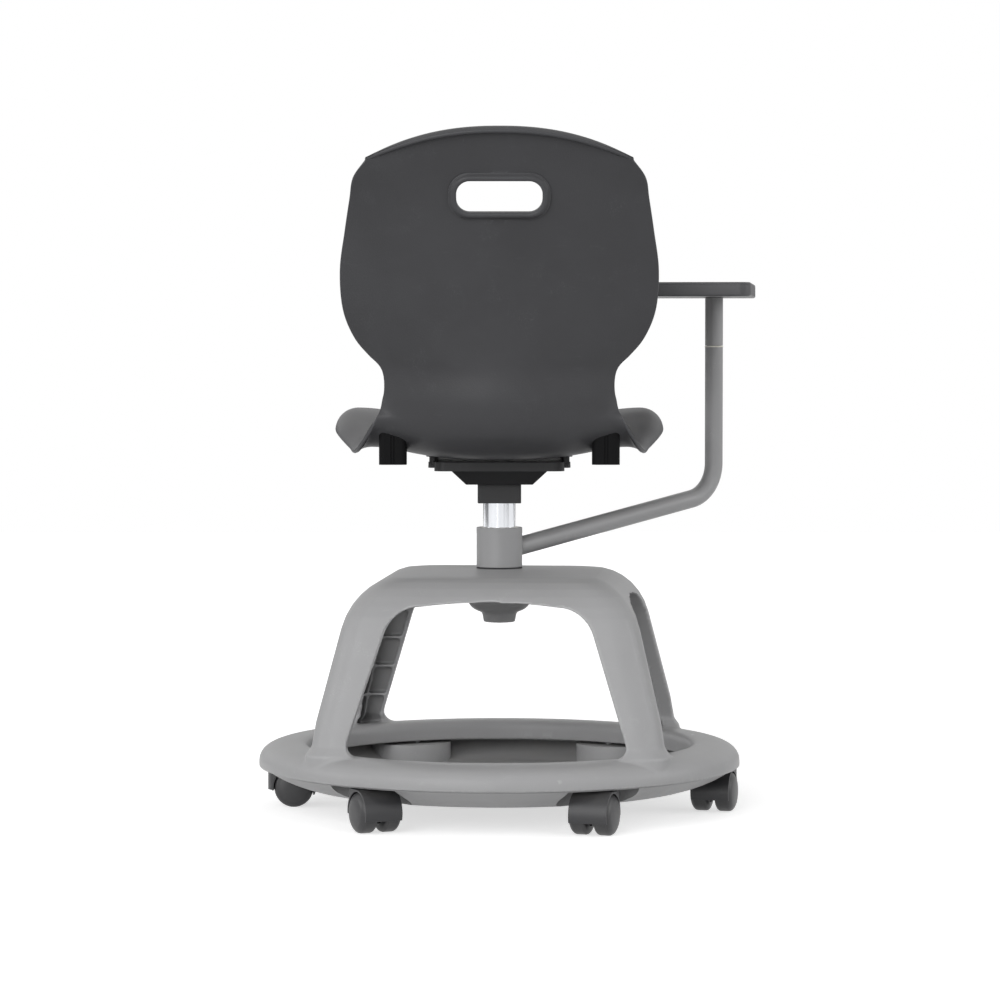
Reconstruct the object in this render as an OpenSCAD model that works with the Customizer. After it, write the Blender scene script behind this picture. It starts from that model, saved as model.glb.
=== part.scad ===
// Swivel chair with a writing tablet on a bent arm.
// A plastic seat shell turns on a chrome column in a moulded base with four arched legs, a ring with
// a tray for a bag, and six twin-wheel castors. The tablet's arm turns round the same column.
// Frame: the column's axis is X = Y = 0, the floor is Z = 0, and the sitter faces +Y.

/* [Seat shell] */
// Height of the backrest, from its foot to its top edge
back_h = 276; // [230:1:330]
// Widest width of the backrest
back_w = 360; // [330:1:390]
// Width of the waist between backrest and seat
waist_w = 262; // [235:1:290]
// Widest width of the seat
seat_w = 391; // [370:1:420]
// Width of the top edge between its rounded corners
top_w = 298; // [270:1:320]
// How far the back's lower part stands behind the column
waist_y = 194; // [180:1:210]
// How far the top of the back leans behind its lower part
back_lean = 72; // [40:1:95]
// Height of the seat's lowest point over the seat plate
seat_over_plate = 6; // [5:0.5:14]
// How far the seat's front crest stands over its lowest point
crest_rise = 36; // [28:1:46]
// How far the front edge stands before the column
seat_front_y = 232; // [215:1:255]
// Wall of the shell
shell_wall = 5; // [4:0.5:6]
// Depth of the lip along the top edge
top_lip = 8; // [5:0.5:11]

/* [Hand slot] */
// Width of the hand slot
slot_w = 96; // [80:1:120]
// Height of the hand slot along the back
slot_h = 36; // [28:1:42]
// Corner radius of the hand slot
slot_r = 15; // [8:0.5:17]
// Distance of the middle of the hand slot below the back's top edge
slot_drop = 75; // [64:1:99]
// Width of the raised lip round the slot
slot_lip = 9; // [6:0.5:12]

/* [Seat plate] */
// Width of the seat plate
plate_w = 151; // [130:1:155]
// Length of the seat plate, front to back
plate_l = 176; // [165:1:200]
// Sheet thickness of the seat plate
plate_t = 3; // [2:0.5:4]
// Height of the plate's turned-down edge
plate_edge_h = 10.5; // [8:0.5:14]
// Height of the plate's top over the base's platform
plate_rise = 128; // [126:0.5:129]
// Distance of the bolts outside the pressed dish, side to side
bolt_out = 20; // [18:0.5:22]
// Half the distance between the bolts, front to back
bolt_y = 68; // [60:1:74]
// Diameter of the bolts
bolt_d = 6; // [5:0.5:8]
// Length of the spacers on the bolts
spacer_l = 6; // [4:0.5:7]

/* [Leg sockets] */
// Width of a socket
socket_w = 31.5; // [26:0.5:36]
// Depth of a socket, front to back
socket_l = 30; // [26:1:36]
// How far the sockets reach below the seat's lowest point
socket_drop = 7; // [2:1:12]
// Distance of the rear sockets from the middle plane
rear_socket_x = 122; // [116:1:126]
// Distance of the rear sockets behind the column
rear_socket_y = 127; // [118:1:130]
// Distance of the front sockets from the middle plane
front_socket_x = 128.5; // [120:0.5:132]
// Distance of the front sockets before the column
front_socket_y = 112; // [104:1:120]

/* [Column] */
// Outer diameter of the chrome tube
tube_d = 38; // [34:0.5:40]
// Wall of the chrome tube
tube_wall = 2.5; // [2:0.25:3.5]
// Width of the square block at the top of the column
block_w = 51.2; // [48:0.2:56]
// Height of the square block
block_h = 22.5; // [18:0.5:28]
// How far the square block's lower end lies below the plate's top
block_drop = 50.5; // [46:0.5:56]
// Width of the pressed dish at its foot
dish_foot_w = 78; // [70:1:84]
// Width of the pressed dish at its top
dish_top_w = 114; // [104:1:118]

/* [Base frame] */
// How far the base stands turned under the seat, in degrees
base_turn = -4.5; // [-30:1:30]
// Height of the platform's top over the ring
platform_rise = 204; // [196:1:210]
// Half the width of the platform's flat top
platform_half = 108; // [98:1:116]
// How far the platform's edge lies below its middle
platform_fall = 3.5; // [1:0.5:6]
// Thickness of the platform
platform_t = 12; // [8:1:16]
// Half the width of the frame at the shoulder of the legs
shoulder_half = 171; // [163:0.5:176]
// How far the shoulder, where the legs become straight, lies below the platform
shoulder_drop = 61; // [51:1:71]
// Half the width of the frame at the foot of the legs
foot_half = 208; // [202:0.5:209]
// Corner radius of the leg frame
leg_corner_r = 30; // [24:1:38]
// Depth of the legs, outside to inside
leg_depth = 18; // [14:1:22]
// Wall of the moulded frame
frame_wall = 4.5; // [3.5:0.5:6]
// Half the width of the arches at their foot
arch_foot_half = 159; // [150:1:162]
// Half the width of the arches below their rounded top
arch_top_half = 119; // [108:1:124]
// How far the crown of the arches lies below the platform
arch_drop = 30; // [26:1:38]
// Corner radius of the arches
arch_r = 44; // [30:1:50]
// Radius between the legs and the ring
foot_r = 13; // [9:1:20]

/* [Ring] */
// Outer radius of the ring
ring_r = 284; // [278:1:290]
// Inner radius of the ring
ring_in_r = 225; // [220:1:228]
// Height of the ring, from its lower edge to its crest
ring_h = 28; // [26:0.5:32]

/* [Tray] */
// Wall of the tray
tray_wall = 3; // [2.5:0.25:4]
// How far the tray's underside lies below the ring
tray_drop = 25; // [20:0.5:28]
// Radius of the flat part of the floor
tray_flat_r = 214; // [205:1:220]
// Diameter of the drain holes
drain_d = 5; // [3:0.5:8]

/* [Castors] */
// Radius of the circle of castors
castor_circle_r = 257; // [254:0.5:260]
// Diameter of the castor wheels
wheel_d = 46; // [42:1:48]
// Width over both wheels
wheels_w = 53; // [48:1:56]
// Gap between the two wheels
wheel_gap = 7; // [6.5:0.5:10]
// Distance of the axle behind the stem
castor_trail = 12.5; // [11:0.5:14]
// Diameter of the castor stems
stem_d = 10; // [9:0.5:11]
// Diameter of the castor axles
axle_d = 6; // [5:0.5:7]
// Thickness of the castor hoods
hood_t = 2.2; // [1.5:0.1:2.4]
// Thickness of the shoulder of the castor stems
stem_shoulder_t = 2.2; // [1.5:0.1:4]

/* [Arm] */
// Direction of the arm from the column, in degrees from the sitter's right
arm_turn = 38; // [20:1:60]
// Distance of the tablet's post from the column
post_r = 336; // [330:1:350]
// Outer diameter of the arm tube and the post
arm_d = 22; // [20:0.5:25]
// Wall of the arm tube and the post
arm_wall = 2; // [1.5:0.25:2.5]
// Height of the arm's middle line over the platform, at the column's axis
arm_over_platform = 19.5; // [16:0.5:26]
// Rise of the arm, in degrees
arm_rise = 10.2; // [5:0.1:13]
// Radius of the bend, on the tube's middle line
arm_bend_r = 44; // [36:1:60]
// Distance of the joint between the arm and the post below the tablet
joint_drop = 61; // [40:1:105]
// Outer diameter of the collar round the column
collar_d = 54; // [52:0.2:60]
// Height of the collar round the column
collar_h = 47; // [44:0.5:54]

/* [Tablet] */
// Width of the tablet
tablet_w = 393; // [340:1:420]
// Depth of the tablet, front to back
tablet_l = 300; // [260:1:320]
// Thickness of the tablet
tablet_t = 17; // [14:0.5:20]
// Height of the tablet's underside over the seat's lowest point
tablet_over_seat = 187; // [172:1:202]
// Distance from the post to the tablet's outer edge
tablet_out = 48.5; // [44:0.5:60]
// Distance from the post to the tablet's rear edge
tablet_rear = 170; // [150:1:185]
// Corner radius on the tablet's outer side
tablet_outer_r = 14; // [8:1:30]
// Corner radius on the tablet's inner side
tablet_inner_r = 55; // [30:1:80]
// How far the tablet stands turned on its post, in degrees
tablet_turn = -5; // [-10:1:5]

/* [Hidden] */
$fn = 64;

// Clearances
run_gap = 0.06;      // radial, between a shaft and the bush it turns in
seat_gap = 0.05;     // radial, between pieces that are pushed together
face_gap = 0.3;      // axial, between faces that turn on each other
past = 1;            // how far a cutting solid runs past the surface it cuts
wheel_clear = 0.8;   // between a castor's wheels and its hood

// Heights, from the floor up: each stands on the one before
flange_t = 1.5;      // of the sleeves that hold the castor stems
boss_inset = 1;      // how far the ring's bosses end above its lower edge
hood_top_z = wheel_d + wheel_clear + hood_t;
boss_low_z = hood_top_z + stem_shoulder_t + face_gap + flange_t;
ring_low_z = boss_low_z - boss_inset;
ring_top_z = ring_low_z + ring_h;
tray_low_z = ring_low_z - tray_drop;
platform_z = ring_top_z + platform_rise;
shoulder_z = platform_z - shoulder_drop;
arch_z = platform_z - arch_drop;
arm_low_z = platform_z + arm_over_platform;
plate_top_z = platform_z + plate_rise;
block_z = plate_top_z - block_drop;
seat_low_z = plate_top_z + seat_over_plate;
socket_low_z = seat_low_z - socket_drop;
back_foot_rise = 95;    // of the back's foot over the seat's lowest point
back_foot_z = seat_low_z + back_foot_rise;
slot_z = back_foot_z + back_h - slot_drop;
tablet_z = seat_low_z + tablet_over_seat;
joint_z = tablet_z - joint_drop;

// Colours
shell_colour = [0.26, 0.27, 0.28];
black_colour = [0.08, 0.08, 0.09];
frame_colour = [0.62, 0.62, 0.63];
arm_colour = [0.50, 0.50, 0.51];
steel_colour = [0.75, 0.75, 0.77];
nylon_colour = [0.88, 0.87, 0.84];
castor_colour = [0.24, 0.24, 0.25];

// Common forms

function bezier(p0, p1, p2, p3, steps) =
    [for (i = [0:steps])
        let (t = i / steps, s = 1 - t)
        s * s * s * p0 + 3 * s * s * t * p1 + 3 * s * t * t * p2 + t * t * t * p3];

function catmull(p, at) =
    let (n = len(p) - 1,
         i = min(floor(at), n - 1),
         t = at - i,
         a = p[i] * 2 - p[i + 1],
         b = p[i + 1] * 2 - p[i],
         p0 = i > 0 ? p[i - 1] : a,
         p3 = i < n - 1 ? p[i + 2] : b)
    0.5 * (2 * p[i] + (p[i + 1] - p0) * t
           + (2 * p0 - 5 * p[i] + 4 * p[i + 1] - p3) * t * t
           + (3 * p[i] - p0 - 3 * p[i + 1] + p3) * t * t * t);

module tube(outer_r, inner_r, low, high) {
    difference() {
        translate([0, 0, low]) cylinder(r = outer_r, h = high - low);
        translate([0, 0, low - past]) cylinder(r = inner_r, h = high - low + 2 * past);
    }
}

// A rectangle from low to high with its own radius at each corner, anticlockwise from low
module rounded_rectangle(low, high, radii) {
    corner = [low, [high[0], low[1]], high, [low[0], high[1]]];
    inward = [[1, 1], [-1, 1], [-1, -1], [1, -1]];
    difference() {
        translate(low) square(high - low);
        for (i = [0:3])
            difference() {
                translate(corner[i] + (radii[i] / 2 - past / 2) * inward[i])
                    square(radii[i] + past, center = true);
                translate(corner[i] + radii[i] * inward[i]) circle(r = radii[i]);
            }
    }
}

// Seat shell: a surface on stations down the middle of the back and along the seat.
// Each station is [y, z, half width, rise towards the sides, roll of the outer edge,
// share of the seat's form, shift of the side towards the lower or rear end].
function back_y(share) = -waist_y - back_lean * pow(max(0, share), 1.3);
function back_at(share, w, rise, shift) =
    [back_y(share), back_foot_z + share * back_h, w, rise, 0, 0, shift];
function seat_at(y, z, w, rise, roll, share, shift = 0) =
    [y, seat_low_z + z, w, rise, roll, share, shift];

back_half = back_w / 2;
waist_half = waist_w / 2;
seat_half = seat_w / 2;
STATIONS = [
    back_at(1, top_w / 2, 14, -41),
    back_at(0.914, back_half - 16.5, 19, -38),
    back_at(0.786, back_half - 12, 25, -27),
    back_at(0.625, back_half - 6, 30, -19),
    back_at(0.446, back_half, 34, -12),
    back_at(0.275, back_half - 2.5, 38, -8),
    back_at(0.146, waist_half + 34, 42, -4),
    back_at(0.068, waist_half + 17.5, 44, -1),
    back_at(0, waist_half + 1, 46, 0),
    seat_at(-waist_y + 1, 60, waist_half + 2, 50, 0, 0),
    seat_at(-waist_y + 14, 26, waist_half + 8, 42, 3, 0.3),
    seat_at(-waist_y + 44, 6, waist_half + 19, 30, 7, 0.7),
    seat_at(-waist_y + 92, 0, waist_half + 34, 15, 9, 1),
    seat_at(-46, 0.5, seat_half - 22, 22, 14, 1),
    seat_at(30, 0.29 * crest_rise, seat_half - 7, 26, 17, 1),
    seat_at(100, 0.68 * crest_rise, seat_half, 24, 23, 1),
    seat_at(seat_front_y - 70, crest_rise, seat_half - 2, 14, 22, 1),
    seat_at(seat_front_y - 28, crest_rise - 1, seat_half - 14, 9, 19, 1, -6),
    seat_at(seat_front_y, crest_rise - 17, seat_half - 40, 5, 12, 1, -16)
];
ROLL_AT = 0.885;    // share of the half width at which the seat's outer roll starts
ROW_STEPS = 2;      // rows of the surface to a station
ACROSS = [-1, -0.98, -0.955, -0.925, -0.885, -0.78, -0.64, -0.48, -0.32, -0.16, 0,
          0.16, 0.32, 0.48, 0.64, 0.78, 0.885, 0.925, 0.955, 0.98, 1];
rows = (len(STATIONS) - 1) * ROW_STEPS;
columns = len(ACROSS) - 1;

// The middle line's upward or forward normal at a station
function line_normal(at) =
    let (a = catmull(STATIONS, max(0, at - 0.25)),
         b = catmull(STATIONS, min(len(STATIONS) - 1, at + 0.25)),
         d = [b[0] - a[0], b[1] - a[1]])
    [-d[1], d[0]] / norm(d);

// A point of the shell's middle surface, at is the station and v runs from -1 to 1 across
function shell_point(at, v) =
    let (s = catmull(STATIONS, at),
         n = line_normal(at),
         a = abs(v),
         t = min(1, a / ROLL_AT),
         q = max(0, (a - ROLL_AT) / (1 - ROLL_AT)),
         form = s[5],
         x = s[2] * (ROLL_AT * t + (1 - ROLL_AT) * ((1 - form) * q + form * sin(90 * q))),
         rise = s[3] * ((1 - form) * a * a + form * (2 * pow(t, 3) - pow(t, 6)))
                - s[4] * (1 - cos(90 * q)),
         shift = s[6] * pow(a, 2.25))
    [sign(v) * x, s[0] + rise * n[0] - shift * n[1], s[1] + rise * n[1] + shift * n[0]];

// The first row is the lip, turned back from the top edge
function row_point(i, v) =
    i == 0 ? shell_point(0, v) + (1 - 0.8 * pow(abs(v), 4)) * top_lip * [0, -1, -0.75]
           : shell_point((i - 1) / ROW_STEPS, v);

function normal_at(i, j) =
    let (i0 = max(0, i - 1),
         i1 = min(rows + 1, i + 1),
         j0 = max(0, j - 1),
         j1 = min(columns, j + 1),
         along = row_point(i1, ACROSS[j]) - row_point(i0, ACROSS[j]),
         side = row_point(i, ACROSS[j1]) - row_point(i, ACROSS[j0]),
         n = cross(side, along))
    n / norm(n);

// Faces between two layers of a grid of points, the first layer outside, with all four rims closed
function layer_faces(n_row, n_col) =
    let (at = function (side, i, j) (side * n_row + i) * n_col + j)
    concat(
        [for (i = [0:n_row - 2]) for (j = [0:n_col - 2]) each
            [[at(0, i, j), at(0, i + 1, j), at(0, i + 1, j + 1)],
             [at(0, i, j), at(0, i + 1, j + 1), at(0, i, j + 1)],
             [at(1, i, j), at(1, i + 1, j + 1), at(1, i + 1, j)],
             [at(1, i, j), at(1, i, j + 1), at(1, i + 1, j + 1)]]],
        [for (i = [0:n_row - 2]) each
            [[at(0, i, 0), at(1, i, 0), at(1, i + 1, 0)],
             [at(0, i, 0), at(1, i + 1, 0), at(0, i + 1, 0)],
             [at(0, i, n_col - 1), at(1, i + 1, n_col - 1), at(1, i, n_col - 1)],
             [at(0, i, n_col - 1), at(0, i + 1, n_col - 1), at(1, i + 1, n_col - 1)]]],
        [for (j = [0:n_col - 2]) each
            [[at(0, 0, j), at(1, 0, j + 1), at(1, 0, j)],
             [at(0, 0, j), at(0, 0, j + 1), at(1, 0, j + 1)],
             [at(0, n_row - 1, j), at(1, n_row - 1, j), at(1, n_row - 1, j + 1)],
             [at(0, n_row - 1, j), at(1, n_row - 1, j + 1), at(0, n_row - 1, j + 1)]]]);

module shell_surface() {
    n_row = rows + 2;
    n_col = columns + 1;
    points = [for (side = [-1, 1])
                 for (i = [0:n_row - 1])
                     for (j = [0:n_col - 1])
                         row_point(i, ACROSS[j]) - side * shell_wall / 2 * normal_at(i, j)];
    polyhedron(points = points, faces = layer_faces(n_row, n_col));
}

// Everything under the seat's middle surface, which trims the bosses and sockets to it
UNDER_FIRST = 10 * ROW_STEPS + 1;    // the row at station 10, the first that they may reach
trim_h = 60;         // height of a block before it is trimmed
module under_seat() {
    n_row = rows - UNDER_FIRST - 1;
    n_col = columns + 1;
    floor_z = plate_top_z - 20;
    top = [for (i = [0:n_row - 1]) for (j = [0:columns]) row_point(UNDER_FIRST + i, ACROSS[j])];
    points = concat(top, [for (p = top) [p[0], p[1], floor_z]]);
    polyhedron(points = points, faces = layer_faces(n_row, n_col));
}

// Solids along the back's normal at the hand slot, from depth low to high, forward is positive
slot_share = 1 - slot_drop / back_h;
slot_tilt = atan2(back_y(slot_share + 0.07) - back_y(slot_share - 0.07), 0.14 * back_h);
module along_slot(low, high) {
    translate([0, back_y(slot_share), slot_z]) rotate([90 - slot_tilt, 0, 0])
        translate([0, 0, -high]) linear_extrude(high - low) children();
}
module slot_outline(grow) {
    half = [slot_w / 2 + grow, slot_h / 2 + grow];
    rounded_rectangle(-half, half, [for (i = [0:3]) slot_r + grow]);
}
slot_lip_back = 7;     // how far the lip stands out behind the back
slot_lip_front = 1;    // how far it reaches into the shell, before the middle surface
slot_cut = 30;         // how far the slot's cut runs to each side of the shell

pad_z = plate_top_z + spacer_l;
boss_r = 8;
bolt_x = dish_top_w / 2 + bolt_out;
module at_bolts() {
    for (x = [-bolt_x, bolt_x], y = [-bolt_y, bolt_y]) translate([x, y, 0]) children();
}
module at_sockets(x, y) {
    for (side = [-1, 1]) translate([side * x, y, 0]) children();
}
module seat_shell() {
    color(shell_colour) difference() {
        union() {
            shell_surface();
            along_slot(-slot_lip_back, slot_lip_front) slot_outline(slot_lip);
            intersection() {
                under_seat();
                at_bolts() translate([0, 0, pad_z]) cylinder(r = boss_r, h = trim_h);
            }
        }
        along_slot(-slot_cut, slot_cut) slot_outline(0);
        at_bolts() translate([0, 0, pad_z - past])
            cylinder(r = bolt_d / 2 + seat_gap, h = bolt_reach + past);
    }
}
bolt_reach = 5;    // how deep the bolt holes go into the shell's pads
bolt_end_gap = 0.5;

// Leg sockets: blocks with two round bores below, joined to the shell's underside
lobe_r = 5.5;
socket_bore_h = 14;
socket_corner_r = 6;
seam_r = 0.8;    // of the four shallow grooves that divide a socket into its two lobes
seam_x = 1.6;
module socket_block() {
    half = [socket_w / 2, socket_l / 2];
    difference() {
        translate([0, 0, socket_low_z]) linear_extrude(trim_h) difference() {
            rounded_rectangle(-half, half, [for (i = [0:3]) socket_corner_r]);
            for (side = [-1, 1], face = [-1, 1])
                translate([side * seam_x, face * socket_l / 2]) circle(r = seam_r);
        }
        for (side = [-1, 1])
            translate([side * socket_w / 4, 0, socket_low_z - past])
                cylinder(r = lobe_r, h = socket_bore_h + past);
    }
}
module under_shell() {
    difference() {
        intersection() {
            under_seat();
            children();
        }
        shell_surface();
    }
}
module rear_sockets() {
    color(black_colour) under_shell() at_sockets(rear_socket_x, -rear_socket_y) socket_block();
}
module front_sockets() {
    color(black_colour) under_shell() at_sockets(front_socket_x, front_socket_y) socket_block();
}

// Seat plate: a shallow pan, open side down, with a lug for each bolt
plate_corner_r = 12;
lug_r = 5.6;
head_af = 10;    // across the flats of a bolt's head
head_h = 4;
module plate_outline(grow) {
    half = [plate_w / 2 + grow, plate_l / 2 + grow];
    rounded_rectangle(-half, half, [for (i = [0:3]) plate_corner_r + grow]);
}
module seat_plate() {
    low = plate_top_z - plate_edge_h;
    color(black_colour) difference() {
        union() {
            translate([0, 0, low]) linear_extrude(plate_edge_h) plate_outline(0);
            translate([0, 0, plate_top_z - plate_t]) linear_extrude(plate_t)
                for (x = [-1, 1], y = [-1, 1]) {
                    translate([x * bolt_x, y * bolt_y]) circle(r = lug_r);
                    translate([x * bolt_x / 2, y * bolt_y]) square([bolt_x, 2 * lug_r], center = true);
                }
        }
        translate([0, 0, low - past]) linear_extrude(plate_edge_h - plate_t + past)
            plate_outline(-plate_t);
        translate([0, 0, low]) cylinder(r = tube_d / 2 + seat_gap, h = plate_edge_h + past);
        at_bolts() translate([0, 0, low]) cylinder(r = bolt_d / 2 + seat_gap, h = plate_edge_h + past);
        at_bolts() translate([0, 0, low - past])
            cylinder(r = head_af / 2 / cos(30) + past, h = plate_edge_h - plate_t + past);
    }
}

module plate_bolts() {
    color(black_colour) at_bolts() {
        translate([0, 0, plate_top_z - plate_t])
            cylinder(d = bolt_d, h = plate_t + spacer_l + bolt_reach - bolt_end_gap);
        translate([0, 0, plate_top_z - plate_t - head_h])
            cylinder(d = head_af / cos(30), h = head_h, $fn = 6);
    }
}
spacer_wall = 1.5;
module bolt_spacers() {
    color(black_colour) at_bolts()
        tube(bolt_d / 2 + seat_gap + spacer_wall, bolt_d / 2 + seat_gap, plate_top_z, pad_z);
}

// Pressed dish between the plate and the block: a square cup with sloping sides
dish_z = block_z + block_h;
dish_h = plate_top_z - plate_t - dish_z;
module sloped_block(foot, top, low, high) {
    points = [for (e = [[foot, low], [top, high]]) for (c = [[-1, -1], [1, -1], [1, 1], [-1, 1]])
                 [c[0] * e[0] / 2, c[1] * e[0] / 2, e[1]]];
    polyhedron(points = points,
               faces = [[0, 1, 2, 3], [7, 6, 5, 4],
                        for (i = [0:3]) [i, i + 4, (i + 1) % 4 + 4, (i + 1) % 4]]);
}
dish_wall = 3;
dish_rim_h = plate_edge_h - plate_t;
dish_boss_wall = 6;    // round the tube, inside the dish
module swivel_bracket() {
    slope_top = dish_z + dish_h - dish_rim_h;
    color(black_colour) difference() {
        union() {
            sloped_block(dish_foot_w, dish_top_w, dish_z, slope_top);
            translate([-dish_top_w / 2, -dish_top_w / 2, slope_top])
                cube([dish_top_w, dish_top_w, dish_rim_h]);
        }
        difference() {
            union() {
                sloped_block(dish_foot_w - 2 * dish_wall, dish_top_w - 2 * dish_wall,
                             dish_z + dish_wall, slope_top);
                translate([-dish_top_w / 2 + dish_wall, -dish_top_w / 2 + dish_wall, slope_top])
                    cube([dish_top_w - 2 * dish_wall, dish_top_w - 2 * dish_wall, dish_rim_h + past]);
            }
            cylinder(r = tube_d / 2 + dish_boss_wall, h = plate_top_z - plate_t);
        }
        translate([0, 0, dish_z - past]) cylinder(r = tube_d / 2 + seat_gap, h = dish_h + 2 * past);
    }
}

block_corner_r = 3;
module column_collar() {
    half = block_w / 2;
    color(black_colour) difference() {
        translate([0, 0, block_z]) linear_extrude(block_h)
            rounded_rectangle([-half, -half], [half, half], [for (i = [0:3]) block_corner_r]);
        translate([0, 0, block_z - past]) cylinder(r = tube_d / 2 + seat_gap, h = block_h + 2 * past);
    }
}

// Hub and column, from the hub's nose up
nose_low_z = platform_z - 64;
nose_high_z = nose_low_z + 12;
hub_floor_z = nose_high_z + 12;
cup_wall = 3;
bush_wall = 1;
bush_r = tube_d / 2 + run_gap;
cup_in_r = bush_r + bush_wall;
cup_r = cup_in_r + cup_wall;
stud_r = 8;
clip_t = 2;
clip_z = nose_low_z + 5.7;
clip_roof_z = clip_z + clip_t + face_gap;
clip_r = 13;
plug_flange_t = 3;
tube_low_z = hub_floor_z + cup_wall + face_gap + plug_flange_t;
tube_high_z = plate_top_z - 1;

module swivel_tube() {
    color("silver") tube(tube_d / 2, tube_d / 2 - tube_wall, tube_low_z, tube_high_z);
}

groove_depth = 1;
module column_spindle() {
    plug_r = tube_d / 2 - tube_wall - seat_gap;
    plug_l = 22;
    stud_end_l = 3;
    color(steel_colour) difference() {
        union() {
            translate([0, 0, tube_low_z]) cylinder(r = plug_r, h = plug_l);
            translate([0, 0, tube_low_z - plug_flange_t]) cylinder(r = tube_d / 2, h = plug_flange_t);
            translate([0, 0, clip_z - stud_end_l]) cylinder(r = stud_r, h = tube_low_z - clip_z);
        }
        tube(stud_r + past, stud_r - groove_depth, clip_z, clip_z + clip_t);
    }
}

module retaining_clip() {
    color(steel_colour) tube(clip_r, stud_r - groove_depth + seat_gap, clip_z, clip_z + clip_t);
}

module hub_insert() {
    color(steel_colour) difference() {
        translate([0, 0, hub_floor_z]) cylinder(r = cup_r, h = platform_z - hub_floor_z);
        translate([0, 0, hub_floor_z + cup_wall]) cylinder(r = cup_in_r, h = platform_z);
        translate([0, 0, hub_floor_z - past]) cylinder(r = stud_r + run_gap, h = cup_wall + 2 * past);
    }
}

module hub_bush() {
    color(nylon_colour) tube(cup_in_r, bush_r, hub_floor_z + cup_wall, platform_z);
}

washer_t = 1.2;
module thrust_washer() {
    color(black_colour) tube(collar_d / 2, bush_r, platform_z, platform_z + washer_t);
}

// Leg frame: a square cup with sloping rounded walls, cut by four arches
knee_z = ring_top_z + 38;
function frame_profile(inset, top, low) =
    let (knee = foot_half - 11,
         s0 = [shoulder_half - inset, shoulder_z],
         rise = top - platform_fall - shoulder_z,
         corner = s0 + [(shoulder_half - knee) / (shoulder_z - knee_z) * rise, rise],
         p3 = [platform_half - inset / 2, top - platform_fall])
    concat([[foot_half - inset, low], [foot_half - inset, ring_top_z + 1]],
           [[foot_half - 6.5 - inset, ring_top_z + 11]],
           [[knee - inset, knee_z]],
           bezier(s0, s0 + 0.6 * (corner - s0), p3 + 0.55 * (corner - p3), p3, 7),
           [[0.45 * platform_half - inset / 2, top]]);

function square_ring(half, r, z) =
    [for (q = [0:3]) for (k = [0:6])
        let (angle = 90 * q + 15 * k,
             c = (half - r) * [q == 0 || q == 3 ? 1 : -1, q <= 1 ? 1 : -1])
        [c[0] + r * cos(angle), c[1] + r * sin(angle), z]];

module square_cup(inset, top, low) {
    profile = frame_profile(inset, top, low);
    n = 28;
    last = len(profile) - 1;
    points = [for (p = profile) each square_ring(p[0], leg_corner_r - inset, p[1])];
    polyhedron(points = points,
               faces = [[for (i = [0:n - 1]) i],
                        [for (i = [n - 1:-1:0]) last * n + i],
                        for (k = [0:last - 1]) for (i = [0:n - 1])
                            [k * n + i, (k + 1) * n + i, (k + 1) * n + (i + 1) % n, k * n + (i + 1) % n]]);
}

// Outline of an arch, grown by grow all round, with rounded top corners and a foot radius
arch_lean = (arch_foot_half - arch_top_half) / (arch_z - 32 - ring_top_z);
arch_crown = 5;    // how far the arch's ends lie below its crown
module arch_outline(grow) {
    top = arch_z + grow;
    side_angle = atan(arch_lean);
    r = arch_r + grow;
    // centre of the corner arc: it touches the leaning side and the top
    side_at_centre = arch_foot_half + grow / cos(side_angle)
                     - arch_lean * (top - arch_crown - r - ring_top_z);
    cx = side_at_centre - r / cos(side_angle);
    cz = top - arch_crown - r;
    foot = foot_r - grow;
    fx = arch_foot_half + grow - foot;
    right = concat(
        [[fx, 0], [fx, ring_top_z]],
        [for (i = [0:6]) let (a = -90 + (90 + side_angle) * i / 6)
            [fx + foot * cos(a), ring_top_z + foot + foot * sin(a)]],
        [for (i = [0:8]) let (a = side_angle + (90 - side_angle) * i / 8)
            [cx + r * cos(a), cz + r * sin(a)]],
        [for (i = [1:4]) let (x = cx * (1 - i / 4))
            [x, top - arch_crown * pow(x / cx, 2)]]);
    polygon(concat(right, [for (i = [len(right) - 2:-1:0]) [-right[i][0], right[i][1]]]));
}
module arches(grow) {
    for (turn = [0, 90]) rotate([90, 0, turn])
        linear_extrude(3 * ring_r, center = true) arch_outline(grow);
}

rib_t = 3;
shelf_first = 34;    // height of the first cross rib of a leg over the ring
shelf_pitch = 36;
module leg_ribs() {
    for (turn = [45:90:315]) rotate([0, 0, turn])
        translate([0, -rib_t / 2, 0]) cube([ring_r, rib_t, platform_z]);
    for (z = [ring_top_z + shelf_first:shelf_pitch:shoulder_z])
        translate([-ring_r, -ring_r, z]) cube([2 * ring_r, 2 * ring_r, rib_t]);
}

module leg_frame() {
    leg_low_z = ring_low_z + 12;
    difference() {
        square_cup(0, platform_z, leg_low_z);
        square_cup(leg_depth, platform_z - platform_t, leg_low_z - past);
        difference() {
            square_cup(frame_wall, platform_z - platform_t - 4, ring_top_z - 4);
            arches(frame_wall);
            leg_ribs();
            square_cup(leg_depth + 1, platform_z - platform_t, leg_low_z - past);
        }
        arches(0);
    }
}

// Ring: an open channel, rounded outside, that the legs stand on
ring_wall = 5;
function ring_outline(inset) =
    let (out = ring_r - inset,
         in_r = ring_in_r + inset,
         top = ring_top_z - inset,
         crest_out = (ring_r + ring_in_r) / 2 - 6.5,
         crest_in = crest_out - 7)
    concat([[out, ring_low_z]],
           bezier([out, ring_low_z + 6], [out, top - 10], [out - 10, top - 0.5], [crest_out, top], 8),
           bezier([crest_in, top], [in_r + 5, top], [in_r, top - 3], [in_r, top - 11], 6),
           [[in_r, ring_low_z + 4]]);
stem_boss_r = 13;
sleeve_wall = 2.4;
socket_r = stem_d / 2 + run_gap + sleeve_wall;
socket_high_z = ring_top_z - 9;
tray_screw_r = castor_circle_r - 19;
screw_boss_r = 4.6;
screw_d = 4;
screw_l = 14;

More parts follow.
